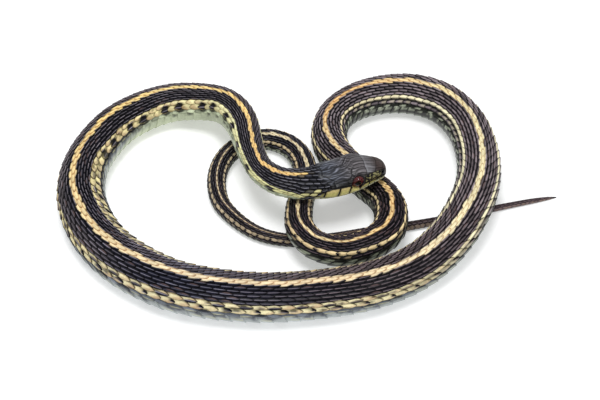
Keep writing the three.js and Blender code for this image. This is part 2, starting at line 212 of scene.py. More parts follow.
# The head's own frame: back from the snout, to the snake's right, and up
snout = way[0]
nape = np.array([np.interp(HEAD_LENGTH, reach, way[:, k]) for k in range(3)])
head_back = (nape - snout) * (1, 1, 0)
head_back /= np.linalg.norm(head_back)
head_right = np.array([-head_back[1], head_back[0], 0])

# The part's origin is the middle of its box, so the route moves by what the eyes say
eye_middle = sum((c for n in ("eye_left", "eye_right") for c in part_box(n)), Vector()) / 4
SHIFT = np.array(eye_middle) / MM - (snout + head_back * EYE_BACK + np.array([0, 0, EYE_HEIGHT]))


def place(table, s):
    return np.stack([np.interp(s, reach, table[:, k]) for k in range(3)], -1)


def outline(s):
    """Half width, top, bottom and widest line over the belly line, and squareness of the back."""
    root = np.sqrt(np.maximum(s, 0))
    stops = np.sqrt([row[0] for row in HEAD])
    head = [monotone(stops, [row[k] for row in HEAD], root) for k in range(1, 5)]
    half = monotone(*zip(*GIRTH), s)
    bottom = -BELLY_FLAT * half
    middle = bottom + BELLY_DEPTH * half
    top = middle + BACK_HEIGHT * half
    on_head = s < HEAD_LENGTH
    blend = ease(s, HEAD_LENGTH - NAPE_EASE, HEAD_LENGTH)
    body = (half, top, bottom, middle)
    chosen = [np.where(on_head, h, b) for h, b in zip(head, body)]
    return (*chosen, np.where(on_head, CROWN_POWER + (BACK_POWER - CROWN_POWER) * blend, BACK_POWER))


def skin(s, angle, rise=0.0):
    """Points of the skin at an angle from the middle of the back, positive to the snake's right."""
    s, angle, rise = np.broadcast_arrays(np.asarray(s, float), angle, rise)
    half, top, bottom, middle, power = outline(s)
    across, high = np.sin(np.radians(angle)), np.cos(np.radians(angle))
    sharp = 2 / np.where(high > 0, power, BELLY_POWER)
    side = np.sign(across) * np.abs(across) ** sharp
    level = np.sign(high) * np.abs(high) ** sharp
    point = place(way, s)
    point[..., 2] += middle
    point += place(right_way, s) * (side * (half + rise))[..., None]
    depth = np.where(high > 0, top - middle, middle - bottom)
    point += place(lean_up_way, s) * (level * (depth + rise))[..., None]
    point[..., 2] = np.maximum(point[..., 2], LOWEST)
    return point


# How far the skin lies under the surface of the scales: at least this, and a share of the half width
COAT_LEAST = 0.02
COAT_SHARE = 0.045


def coat_depth(s):
    return COAT_LEAST + COAT_SHARE * outline(np.asarray(s, float))[0]


# Colours, linear
BLACK = np.array([0.0022, 0.002, 0.003])
STRIPE_PALE = np.array([0.66, 0.64, 0.36])
SPOT_PALE = np.array([0.5, 0.47, 0.23])
TAN = np.array([0.54, 0.37, 0.21])
RUST = np.array([0.17, 0.105, 0.1])
# Painted sheen where the far and outer sides of the body catch the light
BROWN_SHEEN = np.array([0.062, 0.042, 0.04])
GREY_SHEEN = np.array([0.105, 0.092, 0.1])
MINT = np.array([0.47, 0.52, 0.36])
SLATE = np.array([0.13, 0.145, 0.17])
SLATE_DARK = np.array([0.055, 0.062, 0.085])
FLANK_PALE = np.array([0.33, 0.36, 0.36])
OLIVE_DARK = np.array([0.016, 0.018, 0.014])
BELLY_SPOT = np.array([0.44, 0.48, 0.36])
GREY_GREEN = np.array([0.27, 0.3, 0.25])
# Crown and nape: the head's own dark colour, made lighter, and bluer on the nape, by painted sheen
CROWN = np.array([0.15, 0.138, 0.148])
NAPE = np.array([0.12, 0.132, 0.17])
SNOUT = np.array([0.056, 0.04, 0.038])
# Painted highlight on the shields ahead of the eyes
PAINTED_GLINT = np.array([0.22, 0.222, 0.24])
LABIAL = np.array([0.54, 0.49, 0.17])
LABIAL_WARM = np.array([0.78, 0.62, 0.3])
JAW = np.array([0.6, 0.6, 0.38])
OLIVE = np.array([0.34, 0.32, 0.15])
ROSTRAL = np.array([0.46, 0.4, 0.22])
# Colours as shares of a stripe's own: at the root of a golden scale, and along its edges
GOLD_ROOT = (0.88, 0.6, 0.38)
GOLD_LINE = (0.42, 0.25, 0.16)
# Colours that change along the body: distance behind the snout, then red, green and blue
# Dark horn of the scales; its blue on the front bend is partly its own tone and partly painted reflection
DARK_TONES = [
    (20, 0.012, 0.013, 0.019), (60, 0.01, 0.01, 0.014), (110, 0.01, 0.01, 0.014),
    (140, 0.012, 0.013, 0.021), (200, 0.012, 0.013, 0.025), (260, 0.012, 0.01, 0.014),
    (310, 0.009, 0.008, 0.01), (420, 0.009, 0.008, 0.01), (500, 0.008, 0.008, 0.012),
    (570, 0.015, 0.012, 0.015), (620, 0.03, 0.021, 0.024), (640, 0.056, 0.038, 0.046),
    (665, 0.062, 0.042, 0.05),
]
# Painted highlight along the keels of the dark scales
KEEL_HIGHLIGHT_TONES = [
    (20, 0.26, 0.26, 0.31), (45, 0.36, 0.32, 0.36), (100, 0.3, 0.27, 0.31), (140, 0.4, 0.35, 0.38),
    (172, 0.38, 0.34, 0.4), (200, 0.27, 0.27, 0.36), (240, 0.25, 0.195, 0.21), (310, 0.3, 0.245, 0.265),
    (400, 0.29, 0.245, 0.27), (430, 0.17, 0.12, 0.14), (470, 0.17, 0.13, 0.15), (520, 0.16, 0.16, 0.21),
    (600, 0.18, 0.15, 0.155), (640, 0.24, 0.18, 0.2), (665, 0.24, 0.18, 0.2),
]
STRIPE_TONES = [
    (24, 0.96, 0.7, 0.28), (34, 0.95, 0.65, 0.27), (70, 0.99, 0.74, 0.31), (90, 1.0, 0.8, 0.36),
    (120, 0.99, 0.76, 0.33), (160, 0.96, 0.78, 0.44), (200, 0.96, 0.82, 0.56), (222, 0.93, 0.76, 0.5),
    (240, 0.9, 0.73, 0.46), (265, 0.92, 0.8, 0.53), (290, 0.97, 0.88, 0.56), (325, 0.97, 0.87, 0.53),
    (346, 0.95, 0.81, 0.46), (358, 0.93, 0.7, 0.35), (384, 0.91, 0.59, 0.26), (394, 0.94, 0.74, 0.4),
    (415, 0.95, 0.8, 0.46), (428, 0.92, 0.65, 0.3), (445, 0.92, 0.68, 0.32), (465, 0.93, 0.78, 0.46),
    (520, 0.94, 0.84, 0.58), (560, 0.86, 0.74, 0.52), (590, 0.4, 0.31, 0.23), (620, 0.08, 0.056, 0.056),
    (640, 0.12, 0.085, 0.09), (665, 0.12, 0.085, 0.09),
]
SIDE_TONES = [
    (22, 0.9, 0.88, 0.44), (60, 0.94, 0.92, 0.54), (112, 0.92, 0.8, 0.42), (150, 0.9, 0.8, 0.42),
    (180, 0.88, 0.8, 0.5), (260, 0.84, 0.76, 0.46), (290, 0.96, 0.9, 0.6), (345, 0.96, 0.9, 0.6),
    (420, 0.92, 0.76, 0.42), (470, 0.78, 0.6, 0.34), (540, 0.66, 0.54, 0.36), (590, 0.34, 0.27, 0.19),
    (640, 0.12, 0.085, 0.085),
]


def new_mesh(name, points, face_groups, colours, uvs=None):
    """Object in metres from points in millimetres of the route's frame, faces, colours and UVs by corner."""
    mesh = bpy.data.meshes.new(name)
    points = (points.reshape(-1, 3) + SHIFT) * MM
    corners = np.concatenate([group.ravel() for group in face_groups])
    sizes = np.concatenate([np.full(len(group), group.shape[1]) for group in face_groups])
    starts = np.concatenate([[0], np.cumsum(sizes)[:-1]])
    mesh.vertices.add(len(points))
    mesh.vertices.foreach_set("co", points.astype(np.float32).ravel())
    mesh.loops.add(len(corners))
    mesh.loops.foreach_set("vertex_index", corners.astype(np.int32))
    mesh.polygons.add(len(sizes))
    mesh.polygons.foreach_set("loop_start", starts.astype(np.int32))
    mesh.polygons.foreach_set("use_smooth", np.ones(len(sizes), bool))
    mesh.update(calc_edges=True)
    rgba = np.ones((len(points), 4), np.float32)
    rgba[:, :3] = colours.reshape(-1, 3)
    mesh.attributes.new("Marking", "FLOAT_COLOR", "POINT").data.foreach_set("color", rgba.ravel())
    if uvs is not None:
        layer = mesh.uv_layers.new(name="OFBake")
        layer.data.foreach_set("uv", uvs.astype(np.float32).ravel())
    made = bpy.data.objects.new(name, mesh)
    bpy.context.scene.collection.objects.link(made)
    return made


# Materials: the mottle and the span of its noise, how far colour and gloss vary, and the grain in metres
MOTTLE_SCALE = 1400
NOISE_LOW, NOISE_HIGH = 0.3, 0.7
MOTTLE_SPREAD = 0.12
GLOSS_SPREAD = 0.07
GRAIN_DEPTH = 0.00006


def shader_node(nodes, kind, **settings):
    """New node with some inputs set. An underscore in a setting's name stands for a space."""
    made = nodes.new(kind)
    for name, value in settings.items():
        made.inputs[name.replace("_", " ")].default_value = value
    return made


def marked_material(name):
    """Material with its nodes, links and shader, and the node that reads the marking colours."""
    made = bpy.data.materials.new(name)
    made.use_nodes = True
    nodes, links = made.node_tree.nodes, made.node_tree.links
    marking = nodes.new("ShaderNodeAttribute")
    marking.attribute_name = "Marking"
    return made, nodes, links, nodes["Principled BSDF"], marking


def horn(name, roughness, bump, grain, specular):
    """Skin or scale material: the marking colours with fine variation, soft gloss and a fine grain."""
    made, nodes, links, shader, marking = marked_material(name)
    coordinates = nodes.new("ShaderNodeTexCoord")
    mottle = shader_node(nodes, "ShaderNodeTexNoise", Scale=MOTTLE_SCALE, Detail=4)
    fine = shader_node(nodes, "ShaderNodeTexNoise", Scale=grain, Detail=3)
    for noise in (mottle, fine):
        links.new(coordinates.outputs["Object"], noise.inputs["Vector"])
    spans = []
    for middle, spread in ((1, MOTTLE_SPREAD), (roughness, GLOSS_SPREAD)):
        span = shader_node(nodes, "ShaderNodeMapRange", From_Min=NOISE_LOW, From_Max=NOISE_HIGH)
        span.inputs["To Min"].default_value = middle - spread
        span.inputs["To Max"].default_value = middle + spread
        links.new(mottle.outputs["Fac"], span.inputs["Value"])
        spans.append(span)
    tint = nodes.new("ShaderNodeVectorMath")
    tint.operation = "SCALE"
    links.new(marking.outputs["Color"], tint.inputs[0])
    links.new(spans[0].outputs["Result"], tint.inputs["Scale"])
    links.new(tint.outputs["Vector"], shader.inputs["Base Color"])
    links.new(spans[1].outputs["Result"], shader.inputs["Roughness"])
    relief = shader_node(nodes, "ShaderNodeBump", Strength=bump, Distance=GRAIN_DEPTH)
    links.new(fine.outputs["Fac"], relief.inputs["Height"])
    links.new(relief.outputs["Normal"], shader.inputs["Normal"])
    shader.inputs["Specular IOR Level"].default_value = specular
    return made


SCALE_HORN = horn("scale_horn", 0.3, 0.4, 5200, 0.1)
SKIN = horn("skin", 0.33, 0.4, 2600, 0.22)
BELLY = horn("belly_horn", 0.34, 0.2, 3000, 0.35)

# Scale rows. Rows count from the mid-line: 0 is the middle of the back, 9 is next to the belly.
ROWS = 10
FIRST_SIDE_ROW = 7
# Where a row of the back ends: row, and the distance behind the snout where it has gone
ROW_ENDS = {6: 292, 5: 432, 4: 520, 3: 572, 2: 612}
SIDE_ENDS = {9: 560, 8: 606}
ROW_FADE = 14.0
STRIPE_HALF = 6.3
MIDDLE_ROW_HALF = 4.2
# Upper edge of the side stripe, as an angle from the middle of the back
STRIPE_TOP = [
    (20, 96), (25.6, 96), (26.6, 88), (27.4, 80), (29.4, 74), (31, 70), (33.4, 66), (35.8, 62),
    (38.6, 57), (41.8, 55), (46.6, 57), (50, 59), (60, 52), (77, 46), (92, 48), (99, 50), (104, 53),
    (112, 54), (150, 53), (190, 53), (215, 56), (265, 57), (290, 50), (360, 49), (380, 54), (402, 52),
    (440, 50), (450, 43), (500, 44), (670, 44),
]
# How much higher the side stripe lies on the inner side of the front bend, in degrees
INNER_CROWDING = [(125, 0), (150, 11), (180, 18), (235, 21), (258, 8), (272, 0)]
# Edge of the belly, as an angle from the middle of the back
BELLY_EDGE = [
    (20, 125), (26, 125), (28, 106), (33, 96), (60, 90), (270, 90), (300, 87), (500, 88), (560, 96),
    (670, 110),
]
# Edge of the back stripe on the first row beside the middle one, 1 at its inner edge
STRIPE_REACH = [
    (24, 0.0), (60, 0.0), (90, -0.1), (125, -0.3), (180, -0.05), (260, 0.05), (400, 0.15), (430, 0.1),
    (445, 0.6), (465, 0.7), (480, 0.4), (500, -0.1), (515, 0.0), (530, 0.6), (560, 0.8),
]
# Shares of the rows in the width between the top of the side stripe and the belly
SIDE_SHARES = {7: 1.05, 8: 1.3, 9: 0.95}
# Where the markings change, as distances behind the snout: where a change starts and where it is full
NECK_FADES = (95, 125)
BLOTCHES_FADE = (128, 150)
REAR_BEGINS = (235, 300)
STRIPE_THINS = (520, 540)
NECK_BLOTCH_CHANGE = 56
# Stretches of painted sheen and of a darker lowest row: where it starts, where it is full, and where it fades
# and ends
WARM_SHEEN_STRETCH = (50, 70, 105, 130)
GREY_SHEEN_STRETCH = (100, 130, 165, 190)
BROWN_SHEEN_STRETCH = (165, 195, 250, 290)
DARK_FLANK_STRETCH = (98, 115, 150, 175)
# Small pale marks behind the jaw: distance behind the snout and angle, and millimetres in a degree there
JAW_SPOTS = [(22.2, 79), (23.3, 80), (23.6, 87), (24.6, 85)]
MM_PER_DEGREE = 0.085
# Where the scales of the neck begin behind the shields: angle, and distance behind the snout
SCALE_START = [(0, 20.7), (25, 20.6), (45, 19.0), (76, 18.3), (84, 20.4), (96, 22.4), (125, 22.4)]
TAIL_BARE = 1.2
# Share of its width that a row still needs for its scales to show
ROW_SHOWS = 0.45
# Room of one scale along the body: on the neck by distance, and behind it by the half width
NECK_END = 60
NECK_PITCH = [(18, 1.5), (24, 1.9), (60, 2.75)]
PITCH_SHARE, PITCH_LEAST = 0.34, 1.13

FINE = 0.05
fine_s = np.arange(0, LENGTH, FINE)
body_pitch = PITCH_SHARE * outline(fine_s)[0] + PITCH_LEAST
pitch = np.where(fine_s < NECK_END, value_at(NECK_PITCH, fine_s), body_pitch)
count = np.concatenate([[0], np.cumsum(FINE / pitch[:-1])])


def row_weight(row, s):
    end = {**ROW_ENDS, **SIDE_ENDS}.get(row)
    if end is None:
        return np.ones_like(s)
    return 1 - ease(s, end - ROW_FADE, end)


def row_count(row, s):
    """Scales before a place in a row. Rows alternate by half a scale, also where one has ended."""
    phase = 0.5 * row - sum(0.5 * (1 - row_weight(r, s)) for r in range(row))
    return np.interp(s, fine_s, count) + phase


def row_angles(s, side):
    """Middle and full width of every row of a side, in degrees, at places behind the snout."""
    stripe, belly = value_at(STRIPE_TOP, s), value_at(BELLY_EDGE, s)
    if side > 0:
        stripe = stripe - value_at(INNER_CROWDING, s)
    widths = [np.full_like(s, 2 * MIDDLE_ROW_HALF)]
    weights = [row_weight(r, s) for r in range(1, FIRST_SIDE_ROW)]
    widths += [(stripe - MIDDLE_ROW_HALF) * w / sum(weights) for w in weights]
    shares = [SIDE_SHARES[r] * row_weight(r, s) for r in range(FIRST_SIDE_ROW, ROWS)]
    widths += [(belly - stripe) * w / sum(shares) for w in shares]
    edges = np.cumsum(widths, axis=0) - MIDDLE_ROW_HALF
    return edges - np.array(widths) / 2, np.array(widths)


fine_angles, fine_widths = {}, {}
for hand in (1, -1):
    fine_angles[hand], fine_widths[hand] = row_angles(fine_s, hand)

# Outline and relief of one scale: t runs from its root to its free tip, v across it.
# Rises are shares of the coat's depth, and lengths are shares of the scale's room.
T = np.array([-1.0, -0.55, -0.1, 0.3, 0.62, 0.85, 1.0])
V = np.array([-1.0, -0.6, -0.2, 0.0, 0.2, 0.6, 1.0])
TIP = np.array([0.72, 0.93, 1.0, 0.93, 0.74, 0.46, 0.1])
SCALE_LENGTH = 0.8
SCALE_WIDTH = 0.64
ROOT_RISE = -1.3
TIP_RISE = 0.3
TILT_POWER = 0.8
UNDERSIDE = -1.9
DOME = 0.5
KEEL_SIZES = [(0, 0.5), (6, 0.55), (7, 0.4), (8, 0.28), (9, 0.05)]
KEEL_HALF = 0.22
TURN_LUCK, SIZE_LUCK, RISE_LUCK = 0.03, 0.025, 0.03
# Painted shade on the walls and floors under each scale
UNDER_SHADE = 0.4
# Strips of the unwrapped scales, and how much of its cell a scale fills along and across
STRIPS = 8
SCALE_FILL = (0.4, 0.4)
BELLY_FILL = (0.42, 0.45)


def grid_faces(rows, columns):
    i, j = np.meshgrid(np.arange(rows - 1), np.arange(columns - 1), indexing="ij")
    a = (i * columns + j).ravel()
    return np.column_stack([a, a + columns, a + columns + 1, a + 1])


def ring_faces(first, last, around):
    """Quads between closed rings of points, from the first ring to the last."""
    i, j = np.meshgrid(np.arange(first, last), np.arange(around), indexing="ij")
    a = (i * around + j).ravel()
    b = (i * around + (j + 1) % around).ravel()
    return np.column_stack([a, b, b + around, a + around])


def fan_faces(hub, start, around):
    """Triangles from a middle point to a ring whose points start at a number."""
    ring = np.arange(around)
    return np.column_stack([np.full(around, hub), start + ring, start + (ring + 1) % around])


def rim_of(rows, columns):
    """Vertices round the edge of a grid, in order."""
    grid = np.arange(rows * columns).reshape(rows, columns)
    return np.concatenate([grid[0, :-1], grid[:-1, -1], grid[-1, :0:-1], grid[:0:-1, 0]])


def plate_faces(rows, columns, copies):
    """Faces of many closed plates: a grid on top, walls down from its rim, and a floor."""
    rim = rim_of(rows, columns)
    size = rows * columns + len(rim)
    low = rows * columns + np.arange(len(rim))
    walls = np.column_stack([rim, np.roll(rim, -1), np.roll(low, -1), low])
    top = grid_faces(rows, columns)
    offset = each(np.arange(copies) * size)
    quads = (np.vstack([top, walls])[None] + offset).reshape(-1, 4)
    floors = (low[::-1][None] + offset[:, 0]).reshape(-1, len(rim))
    return quads, floors


def with_rim(top, low):
    """Every plate's grid on top, then its rim below, in one run."""
    rows, columns = top.shape[1:3]
    flat, under = (grid.reshape(len(grid), rows * columns, -1) for grid in (top, low))
    return np.concatenate([flat, under[:, rim_of(rows, columns)]], 1)


def cell_uvs(order, per, lane, lanes, fill, t, v):
    """UVs with a cell for each plate. The plates of a lane run in strips with so many to a strip."""
    x = each(order % per) + 0.5 + fill[0] * t + 0 * v
    y = each(order // per * lanes) + lane + 0.5 + fill[1] * v + 0 * t
    return np.stack([x / per, y / (lanes * STRIPS)], -1)


def plate_piece(name, shape, points, colours, uvs, material):
    """Piece of closed plates, each a grid of the shape with its rim below."""
    quads, floors = plate_faces(*shape, len(points))
    corner_uvs = uvs.reshape(-1, 2)[np.concatenate([quads.ravel(), floors.ravel()])]
    made = new_mesh(name, points, [quads, floors], colours, corner_uvs)
    made.data.materials.append(material)
    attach(made, "root")


def scale_start(angle):
    return value_at(SCALE_START, np.abs(angle))


def tilt(t, tip_rise):
    """Rise of a plate from its buried root to its free tip."""
    return ROOT_RISE + (tip_rise - ROOT_RISE) * ((t + 1) / 2) ** TILT_POWER


def numbered(numbers, along):
    """Places of numbered plates behind the snout, and the room of each."""
    s, start, end = (np.interp(numbers + off, along, fine_s) for off in (0, -0.5, 0.5))
    return s, end - start


def scale_places(row, side):
    """Places of the scales of one row behind the snout, their numbers, and their room."""
    along = row_count(row, fine_s)
    numbers = np.arange(math.ceil(along[0]), math.floor(along[-1]))
    s, step = numbered(numbers, along)
    first = scale_start(np.interp(s, fine_s, fine_angles[side][row]))
    keep = (s > first) & (s < LENGTH - TAIL_BARE) & (row_weight(row, s) > ROW_SHOWS)
    return s[keep], numbers[keep], step[keep]


def blot(t, inner, at_t, at_inner, long, wide):
    """Soft-edged spot on each scale, 1 at its middle."""
    return 1 - ease(np.hypot((t - at_t) / long, (inner - at_inner) / wide), 0.75, 1.1)


def neck_blotch(number, s):
    """1 where a scale of row 8 on the neck is black: every fourth near the head, then two of five."""
    return np.where(s < NECK_BLOTCH_CHANGE, number % 4 == 0, np.isin(number % 5, (0, 2))) * 1.0


def blotch_beside(p, ahead, behind, at_inner, long, wide):
    """Where the blotches of row 8 run over onto both ends of a scale beside them."""
    tip = p.blot(1.0, at_inner, long, wide) * each(neck_blotch(p.number + ahead, p.s))
    root = p.blot(-0.8, at_inner, long, wide) * each(neck_blotch(p.number + behind, p.s))
    return np.maximum(tip, root)


def varied(table, s, least, spread, luck):
    """Colour of each scale from a table, lighter or darker by luck."""
    return each(tone_at(table, s)) * (least + spread * luck)[..., None]


def dark_horn(p):
    """Painted shade black round the edges and at the root, painted sheen, a painted keel highlight, and rusty
    flecks.
    """
    tone = varied(DARK_TONES, p.s, 0.5, 0.9, p.luck[0])
    # Painted sheen: brown on the far side, grey and brown on the outer side, where the body's edge catches
    # the light
    if p.side > 0:
        tone = mix(tone, BROWN_SHEEN, 0.7 * stretch(p.s, *BROWN_SHEEN_STRETCH))
    else:
        upper = each(ease(p.angle, 15, 40))
        tone = mix(tone, GREY_SHEEN, 0.7 * stretch(p.s, *GREY_SHEEN_STRETCH) * upper)
        tone = mix(tone, BROWN_SHEEN, 0.8 * stretch(p.s, *WARM_SHEEN_STRETCH))
    # Painted shade: black round the edges and at the root of each scale, where the next ones overlap it
    rim = ease(np.hypot(p.inner / 0.97, (p.t - 0.15) / 0.95), 0.55, 0.95)
    colour = mix(tone, BLACK, rim)
    wide = 0.2 + 0.1 * p.rear * (1 - p.after(400, 430))
    # Painted highlight: a pale line along the keel
    ends = ease(p.t, -0.7, -0.2) * (1 - ease(p.t, 0.8, 1.0))
    keel = ease(wide - np.abs(p.inner), 0, 0.15) * ends
    colour = mix(colour, varied(KEEL_HIGHLIGHT_TONES, p.s, 0.35, 1.0, p.luck[4]), keel)
    if 0 < p.row < FIRST_SIDE_ROW:
        rust = p.blot(0.4, 0.7, 0.5, 0.28) * (p.luck[1] > 0.8) * p.after(60, 110)
        colour = mix(colour, RUST, 0.7 * rust)
    return colour


def back_stripe(p, colour):
    """The stripe of the back: the middle row and the inner edges of the rows beside it."""
    gold = varied(STRIPE_TONES, p.s, 0.84, 0.24, p.luck[3])
    gold = mix(gold, gold * GOLD_ROOT, 0.6 * ease(-p.t, 0.35, 0.9))
    thin = p.after(*STRIPE_THINS)
    speck = p.blot(-0.4, 0.0, 0.35, 1.2) * (p.luck[5] > 0.45) * p.after(430, 470)
    dark = np.maximum(0.75 * speck, 0.9 * thin * ease(-p.t, -0.1, 0.5))
    gold = mix(gold, BLACK * 6, dark)
    if p.row == 0:
        line = ease(np.abs(p.inner), 0.6 - 0.2 * thin, 0.8)
        line = 0.85 * np.maximum(line, ease(p.t, 0.72, 0.95))
        share = p.after(22.8, 24.8)
    else:
        edge = each(value_at(STRIPE_REACH, p.s)) + 1.3 * (p.luck[2] - 0.5)
        bulge = np.hypot((p.t - 0.05) / 0.88, (1.0 - p.inner) / np.maximum(1.0 - edge, 0.1))
        line = 0.6 * ease(p.inner, 0.62, 0.8)
        share = p.after(25, 29) * (1 - ease(bulge, 0.84, 1.0)) * (1 - 0.8 * thin)
    return mix(colour, mix(gold, gold * GOLD_LINE, line), share)


def side_stripe(p, colour):
    """The side stripe: rows 7 and 8, with blotches on the neck, and flecks on row 6."""
    pale = varied(SIDE_TONES, p.s, 0.75, 0.4, p.luck[2])
    tan = ease(p.t - 0.5 * p.inner + 0.6 * (p.luck[4] - 0.5), -0.1, 0.5)
    tan = tan * (1 - 0.75 * p.rear) * (0.35 + 0.65 * p.luck[5])
    pale = mix(pale, TAN, 0.9 * tan * (1 - 0.8 * p.neck * (1 - p.after(60, 85))))
    begin = p.after(25.0, 26.0)
    if p.row == 6:
        fleck = p.blot(0.55, -0.85, 0.55, 0.3) * p.even * (p.luck[1] > 0.25)
        fleck = fleck * (1 - p.rear) * (1 - 0.5 * p.neck)
        return mix(colour, pale, 0.8 * fleck * begin)
    whole = 1 - ease(np.hypot(p.inner / 1.12, (p.t - 0.08) / 1.02), 0.82, 1.0)
    crack = p.blot(0.9 - 1.5 * p.luck[3], 1.4 * (p.luck[0] - 0.5), 0.42, 0.55)
    crack = crack * (p.luck[1] > 0.35) * (1 - p.rear) * p.after(60, 110)
    whole = whole * (1 - 0.9 * crack)
    if p.row == 7:
        notch = p.blot(0.55, -0.55, 0.9 + 0.5 * p.luck[1], 0.95) * p.even * (1 - p.rear)
        blotch = blotch_beside(p, 1, 0, -0.9, 1.2, 0.9 + 0.5 * p.luck[3])
        last = p.after(425, 445)
        gap = p.blot(1.0, -0.2, 0.6, 1.0) * p.even * last
        narrow = 1 - 0.9 * p.rear * (1 - last) * ease(-p.inner, 0.05, 0.35)
        share, soft_tone, rear_spots = whole * narrow, (0.4, 0.36, 0.26), 0
    else:
        notch = p.blot(0.9, 0.7, 0.55 + 0.4 * p.luck[1], 1.0) * (1 - p.even)
        blotch = p.blot(0.3 * (p.luck[0] - 0.5), 0.15, 0.95 + 0.3 * p.luck[3], 1.15)
        blotch = blotch * each(neck_blotch(p.number, p.s))
        gap = 0
        share, soft_tone = whole * (1 - 0.2 * p.neck) * (1 - p.rear), (0.4, 0.4, 0.3)
        rear_spots = 0.35 * p.blot(0.1, 0.1, 0.5, 0.4) * (p.luck[1] > 0.5) * p.rear
    clear = 1 - np.maximum(np.maximum(notch * (1 - p.spotty), p.spotty * blotch), gap)
    soft = np.maximum(p.neck, (0.35 + 0.2 * p.spotty) * (1 - p.rear))
    colour = mix(colour, pale * soft_tone, 0.75 * soft * begin * clear)
    return mix(colour, pale, begin * (share * clear + rear_spots))


def flank(p, colour):
    """The lowest row: mint and slate with black in front, and dark with pale spots behind."""
    front = mix(SLATE * 1.2, MINT * 1.1, p.neck) * (0.6 + 0.9 * p.luck[3])[..., None]
    front = mix(front, BLACK * 5, 0.8 * stretch(p.s, *DARK_FLANK_STRETCH) * (p.side > 0))
    loose = p.blot(0.2, 0.7, 0.8, 1.1) * p.even * (0.4 + 0.6 * p.luck[4])
    blotch = blotch_beside(p, 0, -1, 0.9, 1.3, 1.3) * p.spotty + loose * (1 - p.spotty)
    blotch = np.maximum(blotch, 0.5 * ease(np.hypot(p.inner, (p.t - 0.1) / 0.9), 0.7, 1.0))
    mark = p.blot(0.4, -0.5, 0.7, 0.5) * (p.luck[5] > 0.4) * (1 - p.neck)
    front = mix(front, STRIPE_PALE * 0.8, 0.65 * mark)
    front = mix(front, BLACK * 1.6, np.clip(blotch, 0, 1) * 0.9)
    behind = mix(OLIVE_DARK, BELLY_SPOT, 0.8 * p.blot(0.1, -0.2, 0.7, 0.6) * p.even)
    return mix(mix(front, behind, p.rear), colour, p.after(560, 620))


def scale_colours(row, side, s, number, t, v):
    """Colour of each scale's points: dark horn with painted shade, sheen and keel highlight, stripes, flecks
    and blotches.
    """
    one = np.ones((len(s), len(T), len(V)))
    p = SimpleNamespace(row=row, side=side, s=s, number=number, inner=-side * v * one, t=t * one)
    p.luck = rng.random((len(s), 6)).T[..., None, None]
    p.angle = np.interp(s, fine_s, fine_angles[side][row])
    p.even = each(number % 2 == 0) * 1.0
    p.rear = each(ease(s, *REAR_BEGINS))
    p.neck = each(1 - ease(s, *NECK_FADES))
    p.spotty = each(1 - ease(s, *BLOTCHES_FADE))

    p.after = lambda low, high: each(ease(s, low, high))
    p.blot = partial(blot, p.t, p.inner)
    colour = dark_horn(p)
    if row in (0, 1):
        colour = back_stripe(p, colour)
    if row in (6, 7, 8):
        colour = side_stripe(p, colour)
    if row == 9:
        colour = flank(p, colour)
    for at_s, at_angle in JAW_SPOTS:
        near = each(np.hypot(s - at_s, (p.angle - at_angle) * MM_PER_DEGREE))
        share = p.blot(0.2, 0.1, 0.8, 0.75) * (1 - ease(near, 0.6, 0.9))
        colour = mix(colour, SPOT_PALE * 1.4, share)
    return colour


def scale_row(row, side, lane, lanes):
    """Points, colours and UVs of the scales of one row."""
    s, number, step = scale_places(row, side)
    t, v = T[:, None], V[None, :]
    turn = each(rng.normal(0, TURN_LUCK, len(s)))
    grow = 1 + each(rng.normal(0, SIZE_LUCK, len(s)))
    width = each(np.interp(s, fine_s, fine_widths[side][row])) * SCALE_WIDTH * grow
    at = each(s) + each(step) * SCALE_LENGTH * t * grow + 0 * v
    middle = np.interp(at, fine_s, fine_angles[side][row])
    angle = side * middle + width * TIP[:, None] * (v + turn * t)
    depth = coat_depth(at)
    keel = value_at(KEEL_SIZES, row) * ease(KEEL_HALF - np.abs(v), 0, KEEL_HALF)
    keel = keel * ease(t, -0.8, -0.3)
    lift = (tilt(t, TIP_RISE) - DOME * v**2 * TIP[:, None] + keel) * depth
    lift = lift + each(rng.normal(0, RISE_LUCK, len(s))) * depth
    top, low = skin(at, angle, lift), skin(at, angle, UNDERSIDE * depth)
    shade = scale_colours(row, side, s, number, t, v)
    per = math.ceil(count[-1] / STRIPS) + 2
    uv = cell_uvs(number - number[0], per, lane, lanes, SCALE_FILL, t, v)
    return with_rim(top, low), with_rim(shade, shade * UNDER_SHADE), with_rim(uv, uv)


def scale_piece(name, rows, sides):
    """Every scale of some rows, over the whole snake, as one piece."""
    lanes = [(row, side) for row in rows for side in (sides if row else (1,))]
    built = [scale_row(row, side, lane, len(lanes)) for lane, (row, side) in enumerate(lanes)]
    points, colours, uvs = (np.concatenate(part) for part in zip(*built))
    plate_piece(name, (len(T), len(V)), points, colours, uvs, SCALE_HORN)


# Belly scutes: one across the belly for every scale of the middle row
BELLY_T = np.array([-1.0, -0.4, 0.2, 0.65, 0.9, 1.0])
BELLY_V = np.linspace(-1, 1, 29)
BELLY_START = 22.5
BELLY_END = 0.3
SCUTE_LENGTH = 0.72
SCUTE_CURL = 0.35
SCUTE_TIP_RISE = 0.03
# How far a scute reaches past the belly's edge, in degrees
SCUTE_OVERLAP = 2


